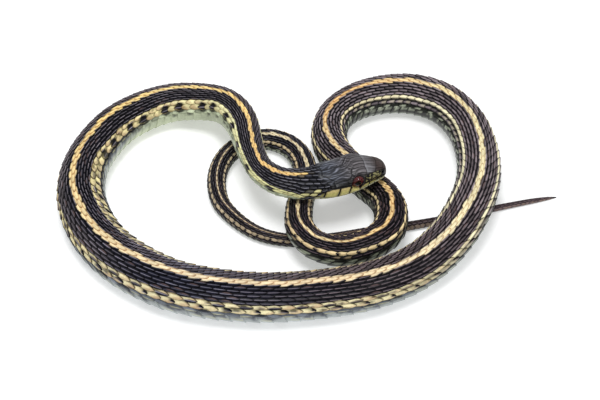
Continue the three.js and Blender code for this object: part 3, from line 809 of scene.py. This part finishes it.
def belly_colours(s, at, t, v):
    """Mint in front and grey-green behind, clouded at the edges, with spots at the edges behind."""
    luck = rng.random((len(s), 3)).T[..., None, None]
    one = np.ones(at.shape)
    t, out = t * one, np.abs(v) * one
    rear, neck = each(ease(s, *REAR_BEGINS)), each(1 - ease(s, *NECK_FADES))
    middle = mix(MINT, FLANK_PALE * 1.3, ease(s, 110, 150))
    middle = each(mix(middle, GREY_GREEN, ease(s, 230, 330))) * (0.85 + 0.3 * luck[0])[..., None]
    outer = ease(out, 0.7 - 0.08 * rear, 0.9 - 0.1 * rear)
    edge = mix(mix(FLANK_PALE, MINT, neck), OLIVE_DARK, rear) * (0.9 + 0.2 * luck[1])[..., None]
    colour = mix(middle, edge, outer * (1 - 0.5 * neck))
    waves = np.sin(2 * np.pi * at / 6.6 + 1.5 * np.sin(0.4 * at) + 9 * out)
    waves = waves + 0.7 * np.sin(2 * np.pi * at / 2.3 + 31 * out)
    cloud = ease(waves + 9 * (out - 0.93), -0.3, 0.7) * ease(out, 0.8, 0.9)
    colour = mix(colour, SLATE_DARK, 0.85 * cloud * (1 - rear) * (1 - neck))
    stain = blot(t, out, 0.1, 0.97, 0.9, 0.06) * (luck[2] > 0.45) * (1 - rear)
    colour = mix(colour, BLACK * 2, (0.35 + 0.4 * neck) * stain)
    # Painted highlight: a pale streak near the outer ends of the scutes in front
    painted_sheen = blot(t, out, 0.5, 0.86, 0.5, 0.05) * (luck[0] > 0.3) * (1 - rear) * (1 - neck)
    colour = mix(colour, STRIPE_PALE * 0.7, 0.5 * painted_sheen)
    first = blot(t, out, 0.6 * luck[1] - 0.5, 0.89 + 0.05 * luck[0], 0.55, 0.055)
    second = blot(t, out, 0.9 - 0.8 * luck[2], 0.97, 0.5, 0.05) * (luck[1] > 0.35)
    broken = np.maximum(first * (0.5 + 0.5 * luck[2]), second)
    joined = each(ease(s, 395, 420))
    spot = (broken * (1 - joined) + blot(t, out, 0.0, 0.92, 0.75, 0.075) * joined) * rear
    colour = mix(colour, BELLY_SPOT * (0.8 + 0.5 * luck[2])[..., None], 0.85 * spot)
    colour = mix(colour, BLACK * 2, ease(t, 0.7, 1.0) * 0.6 * rear)
    return mix(colour, each(tone_at(DARK_TONES, s)), 0.75 * each(ease(s, 540, 620)))


def belly_piece():
    numbers = np.arange(math.ceil(np.interp(BELLY_START, fine_s, count)), math.floor(count[-1]) - 1)
    s, step = numbered(numbers, count)
    t, v = BELLY_T[:, None], BELLY_V[None, :]
    curl = SCUTE_CURL * np.abs(v) ** 6
    at = each(s) + each(step) * (SCUTE_LENGTH * t - curl * (t + 1) / 2)
    at = np.clip(at, 0, LENGTH - BELLY_END)
    angle = 180 + (180 + SCUTE_OVERLAP - each(value_at(BELLY_EDGE, s))) * v + 0 * at
    depth = coat_depth(at)
    top, low = skin(at, angle, tilt(t, SCUTE_TIP_RISE) * depth), skin(at, angle, UNDERSIDE * depth)
    colour = belly_colours(s, at, t, v)
    uv = cell_uvs(np.arange(len(s)), math.ceil(len(s) / STRIPS), 0, 1, BELLY_FILL, t, v)
    points, colours, uvs = with_rim(top, low), with_rim(colour, colour), with_rim(uv, uv)
    plate_piece("belly_scutes", top.shape[1:3], points, colours, uvs, BELLY)


# Shields of the head as polygons of distance behind the snout and angle from the middle of the crown
CROWN_PAIRS = {
    "internasal": [(1.1, 0), (3.1, 0), (3.9, 0.7), (1.5, 0.72)],
    "prefrontal": [(3.1, 0), (7.1, 0), (7.4, 0.5), (7.0, 0.84), (4.4, 0.86), (3.9, 0.7)],
    "supraocular": [(7.4, 0.5), (11.8, 0.42), (12.6, 0.66), (11.8, 0.85), (8.6, 0.88), (7.1, 0.82)],
    "parietal": [(14.0, 0), (20.4, 0), (20.8, 0.32), (17.8, 0.74), (13.6, 0.84), (12.6, 0.66), (11.8, 0.42)],
}
FRONTAL = [(7.1, 0), (7.4, 0.5), (11.8, 0.42), (14.0, 0), (11.8, -0.42), (7.4, -0.5)]
# Front and back of each plate of the cheeks, and the heights of its front and back edges
CHEEKS = {
    "nasal": (1.0, 3.7, 3.2, 4.9, 3.2, 5.55),
    "loreal": (3.7, 5.8, 3.2, 5.55, 3.45, 5.9),
    "preocular": (5.8, 8.1, 3.45, 5.9, 3.75, 6.25),
    "postocular_low": (12.6, 14.2, 4.65, 5.6, 5.0, 5.75),
    "postocular_high": (12.6, 14.2, 5.6, 6.8, 5.75, 6.6),
    "temporal": (14.2, 18.0, 5.05, 6.6, 5.45, 6.95),
    "temporal_back": (18.0, 21.8, 5.45, 6.2, 5.35, 6.2),
    "temporal_top": (18.0, 21.8, 6.2, 7.1, 6.2, 7.0),
}
UPPER_LIP = [0.9, 2.3, 3.8, 6.5, 10.2, 13.5, 16.6, 20.3, 22.3]
# Upper edge of the upper lip: distance behind the snout and height over the chin
LIP_TOP = [
    (0.9, 3.35), (3.8, 3.75), (6.5, 4.15), (8.0, 3.95), (10.2, 3.0), (12.2, 4.5), (13.5, 4.9), (16.6, 5.5),
    (22.3, 5.3),
]
LIP_SLANT = 0.7
LOWER_LIP = [1.2, 2.8, 4.6, 6.8, 9.4, 12.4, 15.6, 18.8, 21.6]
LOWER_LIP_HEIGHT, LOWEST_LIP = 1.15, 0.12
LIP_PALENESS = [0.5, 0.95, 1.0, 1.0, 1.0, 1.0, 1.0, 0.7]
# The two pairs of shields under the chin: distance behind the snout and angle
CHIN_PAIRS = [
    [(2.8, 180), (8.6, 180), (8.6, 152), (3.4, 140)],
    [(8.6, 180), (15.0, 178), (14.0, 155), (8.6, 152)],
]
# Middles of the nostril, the brow and the swell of the cheek: distance behind the snout and height
NOSTRIL = (2.0, 4.5)
BROW = (10.0, 7.45)
CHEEK = (17.0, 4.6)
MOUTH_END = 22.3
# Relief in millimetres
PLATE_RISE, LIP_RISE, BETWEEN_RISE = 0.06, 0.09, -0.02
SEAM_DEPTH, CHEEK_SEAM_EXTRA, LIP_SEAM_DEPTH = 0.035, 0.05, 0.13
MOUTH_DEPTH, LIP_OVERHANG = 0.42, 0.08
BROW_RISE, EYE_RIM_RISE, CHEEK_SWELL = 0.38, 0.12, 0.12
NOSTRIL_DEPTH, NOSTRIL_RIM_RISE = 0.7, 0.07
# Distance of the sockets' floor from the middle of the head
SOCKET_FLOOR = 3.0
# Fine wrinkles: waves for each millimetre along the head and round it
WRINKLES = [(0.05, 0.95), (-0.09, 0.62), (0.12, 1.35), (-0.04, 1.7), (0.2, 0.7), (-0.24, 1.05)]
WRINKLE_HEIGHT = 0.022
# Rings of the skin: close together on the snout and the head, and wide apart under the scales
SNOUT_LENGTH = 6.0
SNOUT_RINGS = 62
HEAD_END = 27.0
NECK_RINGS = 0.14
BODY_RINGS = 1.1
FIRST_BODY_RING, LAST_BODY_RING = 0.9, 0.6
TIP_RINGS = (0.3, 0.05)
AROUND = 256
SKIN_STRIPS = 6


def angle_across(s, share):
    power = float(outline(np.array([s]))[4][0])
    return math.copysign(math.degrees(math.asin(abs(share) ** (power / 2))), share)


def angle_at_height(s, height):
    _, top, bottom, middle, power = (float(x[0]) for x in outline(np.array([s])))
    above = height > middle
    share = (height - middle) / (top - middle) if above else (middle - height) / (middle - bottom)
    level = min(max(share, 0), 1) ** ((power if above else BELLY_POWER) / 2)
    return math.degrees(math.acos(level if above else -level))


def mouth_height(s):
    return value_at(MOUTH, s)


def side_plates():
    """Name and corners of the plates of a cheek and its lips, by distance behind the snout and height."""
    found = []
    for name, (front, end, low_a, high_a, low_b, high_b) in CHEEKS.items():
        found.append((name, [(front, low_a), (front, high_a), (end, high_b), (end, low_b)]))
    for i, (a, b) in enumerate(zip(UPPER_LIP, UPPER_LIP[1:]), 1):
        low_a, low_b = (s + LIP_SLANT * float(ease(s, 8, 13)) for s in (a, b))
        corners = [(low_a, mouth_height(low_a)), (a, value_at(LIP_TOP, a)), (b, value_at(LIP_TOP, b))]
        found.append((f"upper_lip_{i}", corners + [(low_b, mouth_height(low_b))]))
    for i, (a, b) in enumerate(zip(LOWER_LIP, LOWER_LIP[1:]), 1):
        low_a, low_b = (max(mouth_height(s) - LOWER_LIP_HEIGHT, LOWEST_LIP) for s in (a, b))
        found.append((f"lower_lip_{i}", [(a, low_a), (a, mouth_height(a)), (b, mouth_height(b)), (b, low_b)]))
    return found


def shields():
    """Name and corners of every shield of the head, by distance behind the snout and angle."""
    found = [("frontal", [(s, angle_across(s, a)) for s, a in FRONTAL])]
    for side in (1, -1):
        for name, corners in CROWN_PAIRS.items():
            found.append((name, [(s, side * angle_across(s, a)) for s, a in corners]))
        for name, corners in side_plates():
            found.append((name, [(s, side * angle_at_height(s, z)) for s, z in corners]))
        for corners in CHIN_PAIRS:
            found.append(("chin_shield", [(s, side * a) for s, a in corners]))
    return found


# More than any distance on the head
FAR = 1e9


def polygon_reach(x, y, corners):
    """Whether points lie in a polygon, and their distance to its edge."""
    inside = np.zeros(x.shape, bool)
    nearest = np.full(x.shape, FAR)
    for (ax, ay), (bx, by) in zip(corners, corners[1:] + corners[:1]):
        crossing = (ay > y) != (by > y)
        with np.errstate(divide="ignore", invalid="ignore"):
            inside ^= crossing & (x < (bx - ax) * (y - ay) / (by - ay) + ax)
        share = ((x - ax) * (bx - ax) + (y - ay) * (by - ay)) / max((bx - ax) ** 2 + (by - ay) ** 2, 1e-9)
        share = np.clip(share, 0, 1)
        nearest = np.minimum(nearest, np.hypot(x - ax - share * (bx - ax), y - ay - share * (by - ay)))
    return inside, nearest


def head_frame_of(points):
    """Distance back, to the snake's right, and up, of points in the head's own frame."""
    rel = points - snout
    return rel @ head_back, rel @ head_right, rel[..., 2]


def head_plates(x, arc, angle):
    """Names of the shields, and for every point of the head the shield and the distance to an edge."""
    found = shields()
    owner, edge = np.full(arc.shape, -1), np.full(arc.shape, FAR)
    s = x[:, 0]

    def arc_at(at_s, at_angle):
        i = int(np.clip(np.searchsorted(s, at_s), 1, len(s) - 1))
        share = (at_s - s[i - 1]) / (s[i] - s[i - 1])
        low, high = (np.interp(at_angle, angle, arc[k]) for k in (i - 1, i))
        return low + (high - low) * share

    for k, (_, corners) in enumerate(found):
        inside, near = polygon_reach(x, arc, [(at_s, arc_at(at_s, at_a)) for at_s, at_a in corners])
        owner[inside] = k
        edge = np.minimum(edge, near)
    return [name for name, _ in found], owner, edge


def head_measures(s, angle, bare):
    """What the relief and the colours of the head depend on, for every point of its skin."""
    gaps = np.linalg.norm(np.roll(bare, -1, axis=1) - bare, axis=2)
    arc = np.cumsum(gaps, axis=1) - gaps
    arc -= np.array([np.interp(0, angle, row) for row in arc])[:, None]
    p = SimpleNamespace(x=np.broadcast_to(s[:, None], arc.shape), y=arc)
    p.names, p.owner, p.edge = head_plates(p.x, arc, angle)
    p.lips = np.isin(p.owner, [k for k, name in enumerate(p.names) if "lip" in name])
    p.back, p.side, p.up = head_frame_of(bare)
    p.on_side = np.abs(p.side) > 1.0
    p.mouth = value_at(MOUTH, p.back)
    p.mouth_live = (p.back < MOUTH_END) & p.on_side | (p.back < 1.0)
    p.gape = np.where(p.mouth_live, 1 - ease(np.abs(p.up - p.mouth), 0.05, 0.24), 0)
    p.eye_off = np.hypot(p.back - EYE_BACK, p.up - EYE_HEIGHT)
    p.socket = (1 - ease(p.eye_off, 1.78, 2.05)) * p.on_side
    p.nostril_off = np.hypot(p.back - NOSTRIL[0], p.up - NOSTRIL[1])
    p.pit = (1 - ease(p.nostril_off, 0.16, 0.46)) * p.on_side
    loose = 0.25 + 0.75 * ease(p.x, 10, 14)
    wander = 0.9 * np.sin(0.9 * p.x + 1.1 * np.sin(0.8 * p.y)) + 0.7 * np.sin(1.3 * p.y + 0.5 * p.x)
    p.wrinkle = sum(
        1 - 2 * np.abs(np.sin(np.pi * (p.x * along * loose + p.y * across) + 2.3 * turn + loose * wander))
        for turn, (along, across) in enumerate(WRINKLES)
    ) / 3
    p.wrinkled = (0.45 + 0.55 * ease(p.back, 8.0, 14.0)) * ease(p.back, 1.5, 5.0) * ~p.lips
    return p


def head_relief(p):
    """Height of the head's points over its plain form."""
    plate = np.where(p.lips, LIP_RISE, PLATE_RISE) * ease(p.edge, 0.02, 0.32)
    rise = np.where(p.owner >= 0, plate, BETWEEN_RISE)
    seam_depth = np.where(p.lips, LIP_SEAM_DEPTH, SEAM_DEPTH + CHEEK_SEAM_EXTRA * ease(p.x, 11, 13))
    rise -= seam_depth * (1 - ease(p.edge, 0.02, 0.14)) * ((p.owner >= 0) | (p.edge < 0.2))
    rise += WRINKLE_HEIGHT * p.wrinkle * p.wrinkled * (1.6 - 0.9 * ease(p.back, 13.0, 17.0))
    rise -= MOUTH_DEPTH * p.gape
    over = p.up - p.mouth
    overhang = np.where(p.mouth_live & (over > 0), ease(0.8 - over, 0, 0.8), 0)
    rise += LIP_OVERHANG * overhang * (1 - p.gape)
    swell = BROW_RISE * bell(p.back - BROW[0], 2.5) * bell(p.up - BROW[1], 0.5)
    swell += EYE_RIM_RISE * bell(p.eye_off - 2.25, 0.28) - NOSTRIL_DEPTH * p.pit
    swell += NOSTRIL_RIM_RISE * bell(p.nostril_off - 0.55, 0.16)
    swell += CHEEK_SWELL * bell(p.back - CHEEK[0], 4.0) * bell(p.up - CHEEK[1], 1.6)
    return rise + swell * p.on_side


def shield_colour(p, name, tone, plain):
    """Colour of the points of one shield by its name."""
    if name.startswith("upper_lip"):
        lip_share = (p.up - p.mouth) / np.maximum(value_at(LIP_TOP, p.back) - p.mouth, 0.3)
        share = LIP_PALENESS[int(name[-1]) - 1] * ease(p.edge, 0.16, 0.36)
        share = share * (0.6 + 0.4 * ease(lip_share, 0.05, 0.35))
        # Painted shade: each upper lip shield lighter in its middle, darker towards its edges
        lip_painted_shade = LABIAL * (0.7 + 0.55 * ease(p.edge, 0.25, 0.9))[..., None] * (1 + 0.5 * (tone - 1))
        return mix(BLACK * 2, mix(lip_painted_shade, LABIAL_WARM, 0.7 * ease(lip_share, 0.5, 0.9)), share)
    if name.startswith("lower_lip"):
        return mix(CROWN * 0.6, JAW, ease(p.edge, 0.04, 0.2))
    if name in ("nasal", "loreal", "preocular"):
        mottle = np.sin(2.6 * p.back + 1.5 * np.sin(3.1 * p.up))
        mottle = mottle * np.sin(3.4 * p.up + 1.4 * np.sin(2.1 * p.back))
        olive = ease(mottle, 0.0, 0.3) * ease(6.4 - p.up, 0, 1.2) * ease(p.back, 2.0, 3.5)
        return mix(BLACK * 3, OLIVE, 0.85 * olive)
    return plain * tone


def head_colours(p):
    """Colour of the head's points: shields, lips, seams, painted sheen and highlights, and painted shade in
    its openings.
    """
    colour = mix(CROWN, NAPE, ease(p.back, 10, 19))
    colour = mix(colour, NAPE * 0.6, ease(p.back, 17.5, 20.5))
    colour = mix(colour, SNOUT, 1 - ease(p.back, 3.0, 6.0))
    # Painted sheen and shade along the wrinkles: lighter on their ridges, darker in their hollows
    streak = np.clip(1 + 1.3 * p.wrinkle * p.wrinkled, 0.25, 2.2)
    cheek_dark = ease(p.back, 11.0, 12.5) * ease(7.4 - p.up, 0, 1.2)
    colour = colour * (streak * (1 - 0.93 * cheek_dark))[..., None]
    for k, name in enumerate(p.names):
        tone = 1 + 0.1 * rng.normal()
        colour = np.where((p.owner == k)[..., None], shield_colour(p, name, tone, colour), colour)
    chin = (p.owner < 0) & (p.up < p.mouth)
    colour = np.where(chin[..., None], JAW * 0.9, colour)
    seam = 1 - ease(p.edge, 0.04, 0.17 + 0.1 * ease(p.x, 11, 13) * ~p.lips)
    seam = seam * np.where(p.lips | (p.up < p.mouth), 0.5, 0.8)
    colour *= (1 - seam)[..., None]

    # Painted highlight on the shields ahead of the eyes, and the pale front edge of the snout
    prefrontal = np.isin(p.owner, [k for k, name in enumerate(p.names) if name == "prefrontal"])
    fade = 0.2 + 0.8 * ease(p.x, 3.6, 6.6)
    broad = 0.25 + 0.75 * ease(np.abs(p.side), 1.4, 2.5)
    painted_sheen = prefrontal * ease(p.edge, 0.05, 0.2) * fade * broad * (0.8 + 0.5 * p.wrinkle)
    colour = mix(colour, PAINTED_GLINT, np.clip(painted_sheen, 0, 1))
    painted_glint_rim = prefrontal * ease(p.x, 6.3, 6.9) * ease(p.edge, 0.04, 0.1)
    colour = mix(colour, PAINTED_GLINT * 1.5, 0.25 * painted_glint_rim)
    front_edge = (1 - ease(p.back, 0.2, 0.75)) * (p.up > p.mouth) * (1 - ease(p.up, 3.4, 4.4))
    colour = mix(colour, ROSTRAL, 0.7 * front_edge)

    # Darker ring round the eye, and painted shade in the mouth, in the nostril and in the socket
    round_eye = (1 - ease(np.abs(p.eye_off - 2.2), 0.1, 0.7)) * p.on_side * (p.up > 4.0)
    for dark in (0.75 * round_eye, p.gape, np.clip(p.pit + p.socket, 0, 1)):
        colour = mix(colour, BLACK, dark)
    return colour


def under_scales(grid_s, grid_a):
    """Colour of the skin that shows between the scales."""
    a = np.abs(grid_a)
    under = mix(MINT, GREY_GREEN, ease(grid_s, 200, 330)) * 0.8
    belly = value_at(BELLY_EDGE, grid_s)
    colour = mix(BLACK * 1.5, under, ease(a, belly - 4, belly + 2))
    striped = (a < STRIPE_HALF) * ease(grid_s, 26, 29)
    return mix(colour, tone_at(STRIPE_TONES, grid_s) * 0.45, striped)


def skin_uvs(s, head_end):
    """UVs of the skin's quads: the head fills the upper half, and the body lies in strips below."""
    span = (LENGTH - head_end) / SKIN_STRIPS
    first_s, second_s = np.repeat(s[:-1], AROUND), np.repeat(s[1:], AROUND)
    is_head = second_s <= head_end + 1e-6
    lane = np.clip(((first_s - head_end) // span).astype(int), 0, SKIN_STRIPS - 1)
    column = np.tile(np.arange(AROUND), len(s) - 1) / AROUND
    next_column = column + 1 / AROUND

    def corner(at, col):
        head_u, head_v = 0.01 + 0.98 * at / HEAD_END, 0.51 + 0.48 * col
        body_u = 0.01 + 0.96 * (at - head_end - lane * span) / span
        body_v = (lane + 0.05 + 0.9 * col) * 0.5 / SKIN_STRIPS
        return np.stack([np.where(is_head, head_u, body_u), np.where(is_head, head_v, body_v)], -1)

    corners = ((first_s, column), (first_s, next_column), (second_s, next_column), (second_s, column))
    return np.stack([corner(at, col) for at, col in corners], 1)


def whole_skin():
    """One skin from the snout to the tail's tip, with the shields, lips, sockets and nostrils of the head."""
    root = np.linspace(0, math.sqrt(SNOUT_LENGTH), SNOUT_RINGS)
    head_s = np.concatenate([root**2, np.arange(SNOUT_LENGTH + NECK_RINGS, HEAD_END, NECK_RINGS)])
    body_s = np.arange(head_s[-1] + FIRST_BODY_RING, LENGTH - LAST_BODY_RING, BODY_RINGS)
    s = np.concatenate([head_s, body_s, LENGTH - np.array(TIP_RINGS)])
    angle = np.linspace(-180, 180, AROUND, endpoint=False) + 180 / AROUND
    grid_s, grid_a = np.meshgrid(s, angle, indexing="ij")
    head = slice(0, len(head_s))
    p = head_measures(head_s, angle, skin(grid_s[head], grid_a[head]))

    # Under the scales the skin lies as deep as they are thick, and the sockets are hollow
    bury = ease(grid_s - scale_start(grid_a), 0.2, 1.6)
    rise = -coat_depth(grid_s) * bury
    rise[head] += head_relief(p) * (1 - bury[head])
    points = skin(grid_s, grid_a, rise)
    hollow = np.sign(p.side) * p.socket * np.maximum(np.abs(p.side) - SOCKET_FLOOR, 0)
    points[head] -= head_right * hollow[..., None]
    colour = under_scales(grid_s, grid_a)
    join = ease(p.x - scale_start(grid_a[head]), 0.0, 1.2)
    colour[head] = mix(head_colours(p), colour[head], join)

    verts = np.vstack([points.reshape(-1, 3), points[0].mean(0), points[-1].mean(0)])
    tints = np.vstack([colour.reshape(-1, 3), colour[0].mean(0), colour[-1].mean(0)])
    quads = ring_faces(0, len(s) - 1, AROUND)
    nose = fan_faces(len(verts) - 2, 0, AROUND)[:, [0, 2, 1]]
    tip = fan_faces(len(verts) - 1, (len(s) - 1) * AROUND, AROUND)
    nose_uv = np.tile([[[0.005, 0.75]]], (AROUND, 3, 1))
    tip_uv = np.tile([[[0.985, 0.46]]], (AROUND, 3, 1))
    uvs = np.concatenate([part.reshape(-1, 2) for part in (skin_uvs(s, head_s[-1]), nose_uv, tip_uv)])
    made = new_mesh("body_skin", verts, [quads, nose, tip], tints, np.clip(uvs, 0, 1))
    made.data.materials.append(SKIN)
    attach(made, "root")
    flesh = [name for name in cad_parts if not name.startswith("eye_")]
    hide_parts(*sorted(flesh))


# Eyes: the pupil, a thin painted highlight ring round it, the iris with two brighter patches, and the rim
PUPIL_TONE = 0.001
EYE_RIM_TONE = 0.004
IRIS_DARK = np.array([0.045, 0.007, 0.008])
IRIS_DEEP = np.array([0.05, 0.007, 0.009])
IRIS_GLOW = np.array([0.11, 0.017, 0.019])
IRIS_HIGHLIGHT_RING = np.array([0.24, 0.05, 0.04])
IRIS_PATCH_TURN = math.radians(120)
EYE_RINGS, EYE_AROUND = 40, 72
EYE_POWER = 2.1


def eye_material():
    made, _, links, shader, marking = marked_material("eye_clear")
    links.new(marking.outputs["Color"], shader.inputs["Base Color"])
    shader.inputs["Roughness"].default_value = 0.05
    shader.inputs["Coat Weight"].default_value = 0.8
    shader.inputs["Coat Roughness"].default_value = 0.04
    shader.inputs["Coat IOR"].default_value = 1.5
    shader.inputs["Specular IOR Level"].default_value = 0.15
    return made


def eye_colours(r, turn):
    """Colours of the eye at shares of its radius and turns round it."""
    streak = 0.5 + 0.5 * np.sin(turn * 23 + 3 * np.sin(turn * 5) + 9 * r)
    patch = ease(np.cos(turn - IRIS_PATCH_TURN) ** 2, -0.3, 0.6) * ease(r, 0.45, 0.62)
    iris = mix(IRIS_DARK, mix(IRIS_DEEP, IRIS_GLOW, streak), patch)
    colour = mix(np.full(3, PUPIL_TONE), iris, ease(r, 0.42, 0.49))
    colour = mix(colour, IRIS_HIGHLIGHT_RING, 0.25 * bell(r - 0.5, 0.025))
    return mix(colour, np.full(3, EYE_RIM_TONE), ease(r, 0.88, 0.98))


def eye_piece(name, side, material):
    """Domed clear scale over the iris and the round pupil."""
    turn = np.linspace(0, 2 * np.pi, EYE_AROUND, endpoint=False)
    r, turn = np.meshgrid(np.linspace(0, 1, EYE_RINGS), turn, indexing="ij")
    dome = EYE_DEPTH * (1 - r**EYE_POWER) ** (1 / EYE_POWER)
    back_d = EYE_BACK + EYE_RADIUS * r * np.cos(turn)
    up_d = EYE_HEIGHT + EYE_RADIUS * r * np.sin(turn)
    points = snout + back_d[..., None] * head_back + (side * (EYE_SIDE + dome))[..., None] * head_right
    points[..., 2] += up_d
    quads = ring_faces(1, EYE_RINGS - 1, EYE_AROUND)
    hub = fan_faces(0, EYE_AROUND, EYE_AROUND)
    base = ((EYE_RINGS - 1) * EYE_AROUND + np.arange(EYE_AROUND))[::-1][None]
    if side < 0:
        quads, hub, base = quads[:, ::-1], hub[:, ::-1], base[:, ::-1]
    made = new_mesh(name, points, [quads, hub, base], eye_colours(r, turn))
    made.data.materials.append(material)
    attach(made, "root")
    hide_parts(name.replace("_ball", ""))


whole_skin()
scale_piece("scales_back_stripe", (0, 1), (1, -1))
scale_piece("scales_back_right", (2, 3, 4, 5, 6), (1,))
scale_piece("scales_back_left", (2, 3, 4, 5, 6), (-1,))
scale_piece("scales_side_right", (7, 8, 9), (1,))
scale_piece("scales_side_left", (7, 8, 9), (-1,))
belly_piece()
eye_clear = eye_material()
eye_piece("eye_right_ball", 1, eye_clear)
eye_piece("eye_left_ball", -1, eye_clear)

# Floor
FLOOR_SIZE = 8
PAPER = (0.8, 0.805, 0.81, 1)
PAPER_GLOW = 0.34
ROOM_LIGHT = 0.42
WHITE = (1, 1, 1, 1)
bpy.ops.mesh.primitive_plane_add(size=FLOOR_SIZE)
floor = bpy.context.object
floor.name = "studio_floor"
paper = bpy.data.materials.new("studio_paper")
paper.use_nodes = True
paper_shader = paper.node_tree.nodes["Principled BSDF"]
paper_shader.inputs["Base Color"].default_value = PAPER
paper_shader.inputs["Roughness"].default_value = 0.7
paper_shader.inputs["Emission Color"].default_value = WHITE
paper_shader.inputs["Emission Strength"].default_value = PAPER_GLOW
floor.data.materials.append(paper)

# Light: a broad soft one overhead, a small one in front for the gleam of the eyes, and a pale room
world = bpy.data.worlds.new("studio")
bpy.context.scene.world = world
world.use_nodes = True
world.node_tree.nodes["Background"].inputs["Color"].default_value = WHITE
world.node_tree.nodes["Background"].inputs["Strength"].default_value = ROOM_LIGHT


def soft_light(name, place_m, size, watts):
    lamp = bpy.data.lights.new(name, "AREA")
    lamp.size = size
    lamp.energy = watts
    made = bpy.data.objects.new(name, lamp)
    made.location = place_m
    made.rotation_euler = (-Vector(place_m)).to_track_quat("-Z", "Y").to_euler()
    bpy.context.scene.collection.objects.link(made)


soft_light("overhead_soft", place_m=(-0.06, 0.0, 0.85), size=0.38, watts=4.9)
soft_light("front_soft", place_m=(0.44, -0.67, 0.29), size=0.09, watts=1.9)

# Camera: 45 degrees up, looking along +Y, with the loops filling the frame as in the picture
SENSOR = 36.0
LENS = 85.0
CAMERA_RISE = math.radians(45)
CAMERA_REACH = 425.0
camera_data = bpy.data.cameras.new("camera")
camera_data.lens = LENS
camera_data.sensor_width = SENSOR
camera_data.clip_start = 0.01
camera = bpy.data.objects.new("camera", camera_data)
aim = SHIFT * (1, 1, 0)
camera_back = np.array([0, -math.cos(CAMERA_RISE), math.sin(CAMERA_RISE)]) * CAMERA_REACH
camera.location = (aim + camera_back) * MM
camera.rotation_euler = (math.pi / 2 - CAMERA_RISE, 0, 0)
bpy.context.scene.collection.objects.link(camera)
bpy.context.scene.camera = camera
bpy.context.scene.view_settings.view_transform = "Standard"
bpy.context.scene.view_settings.look = "None"
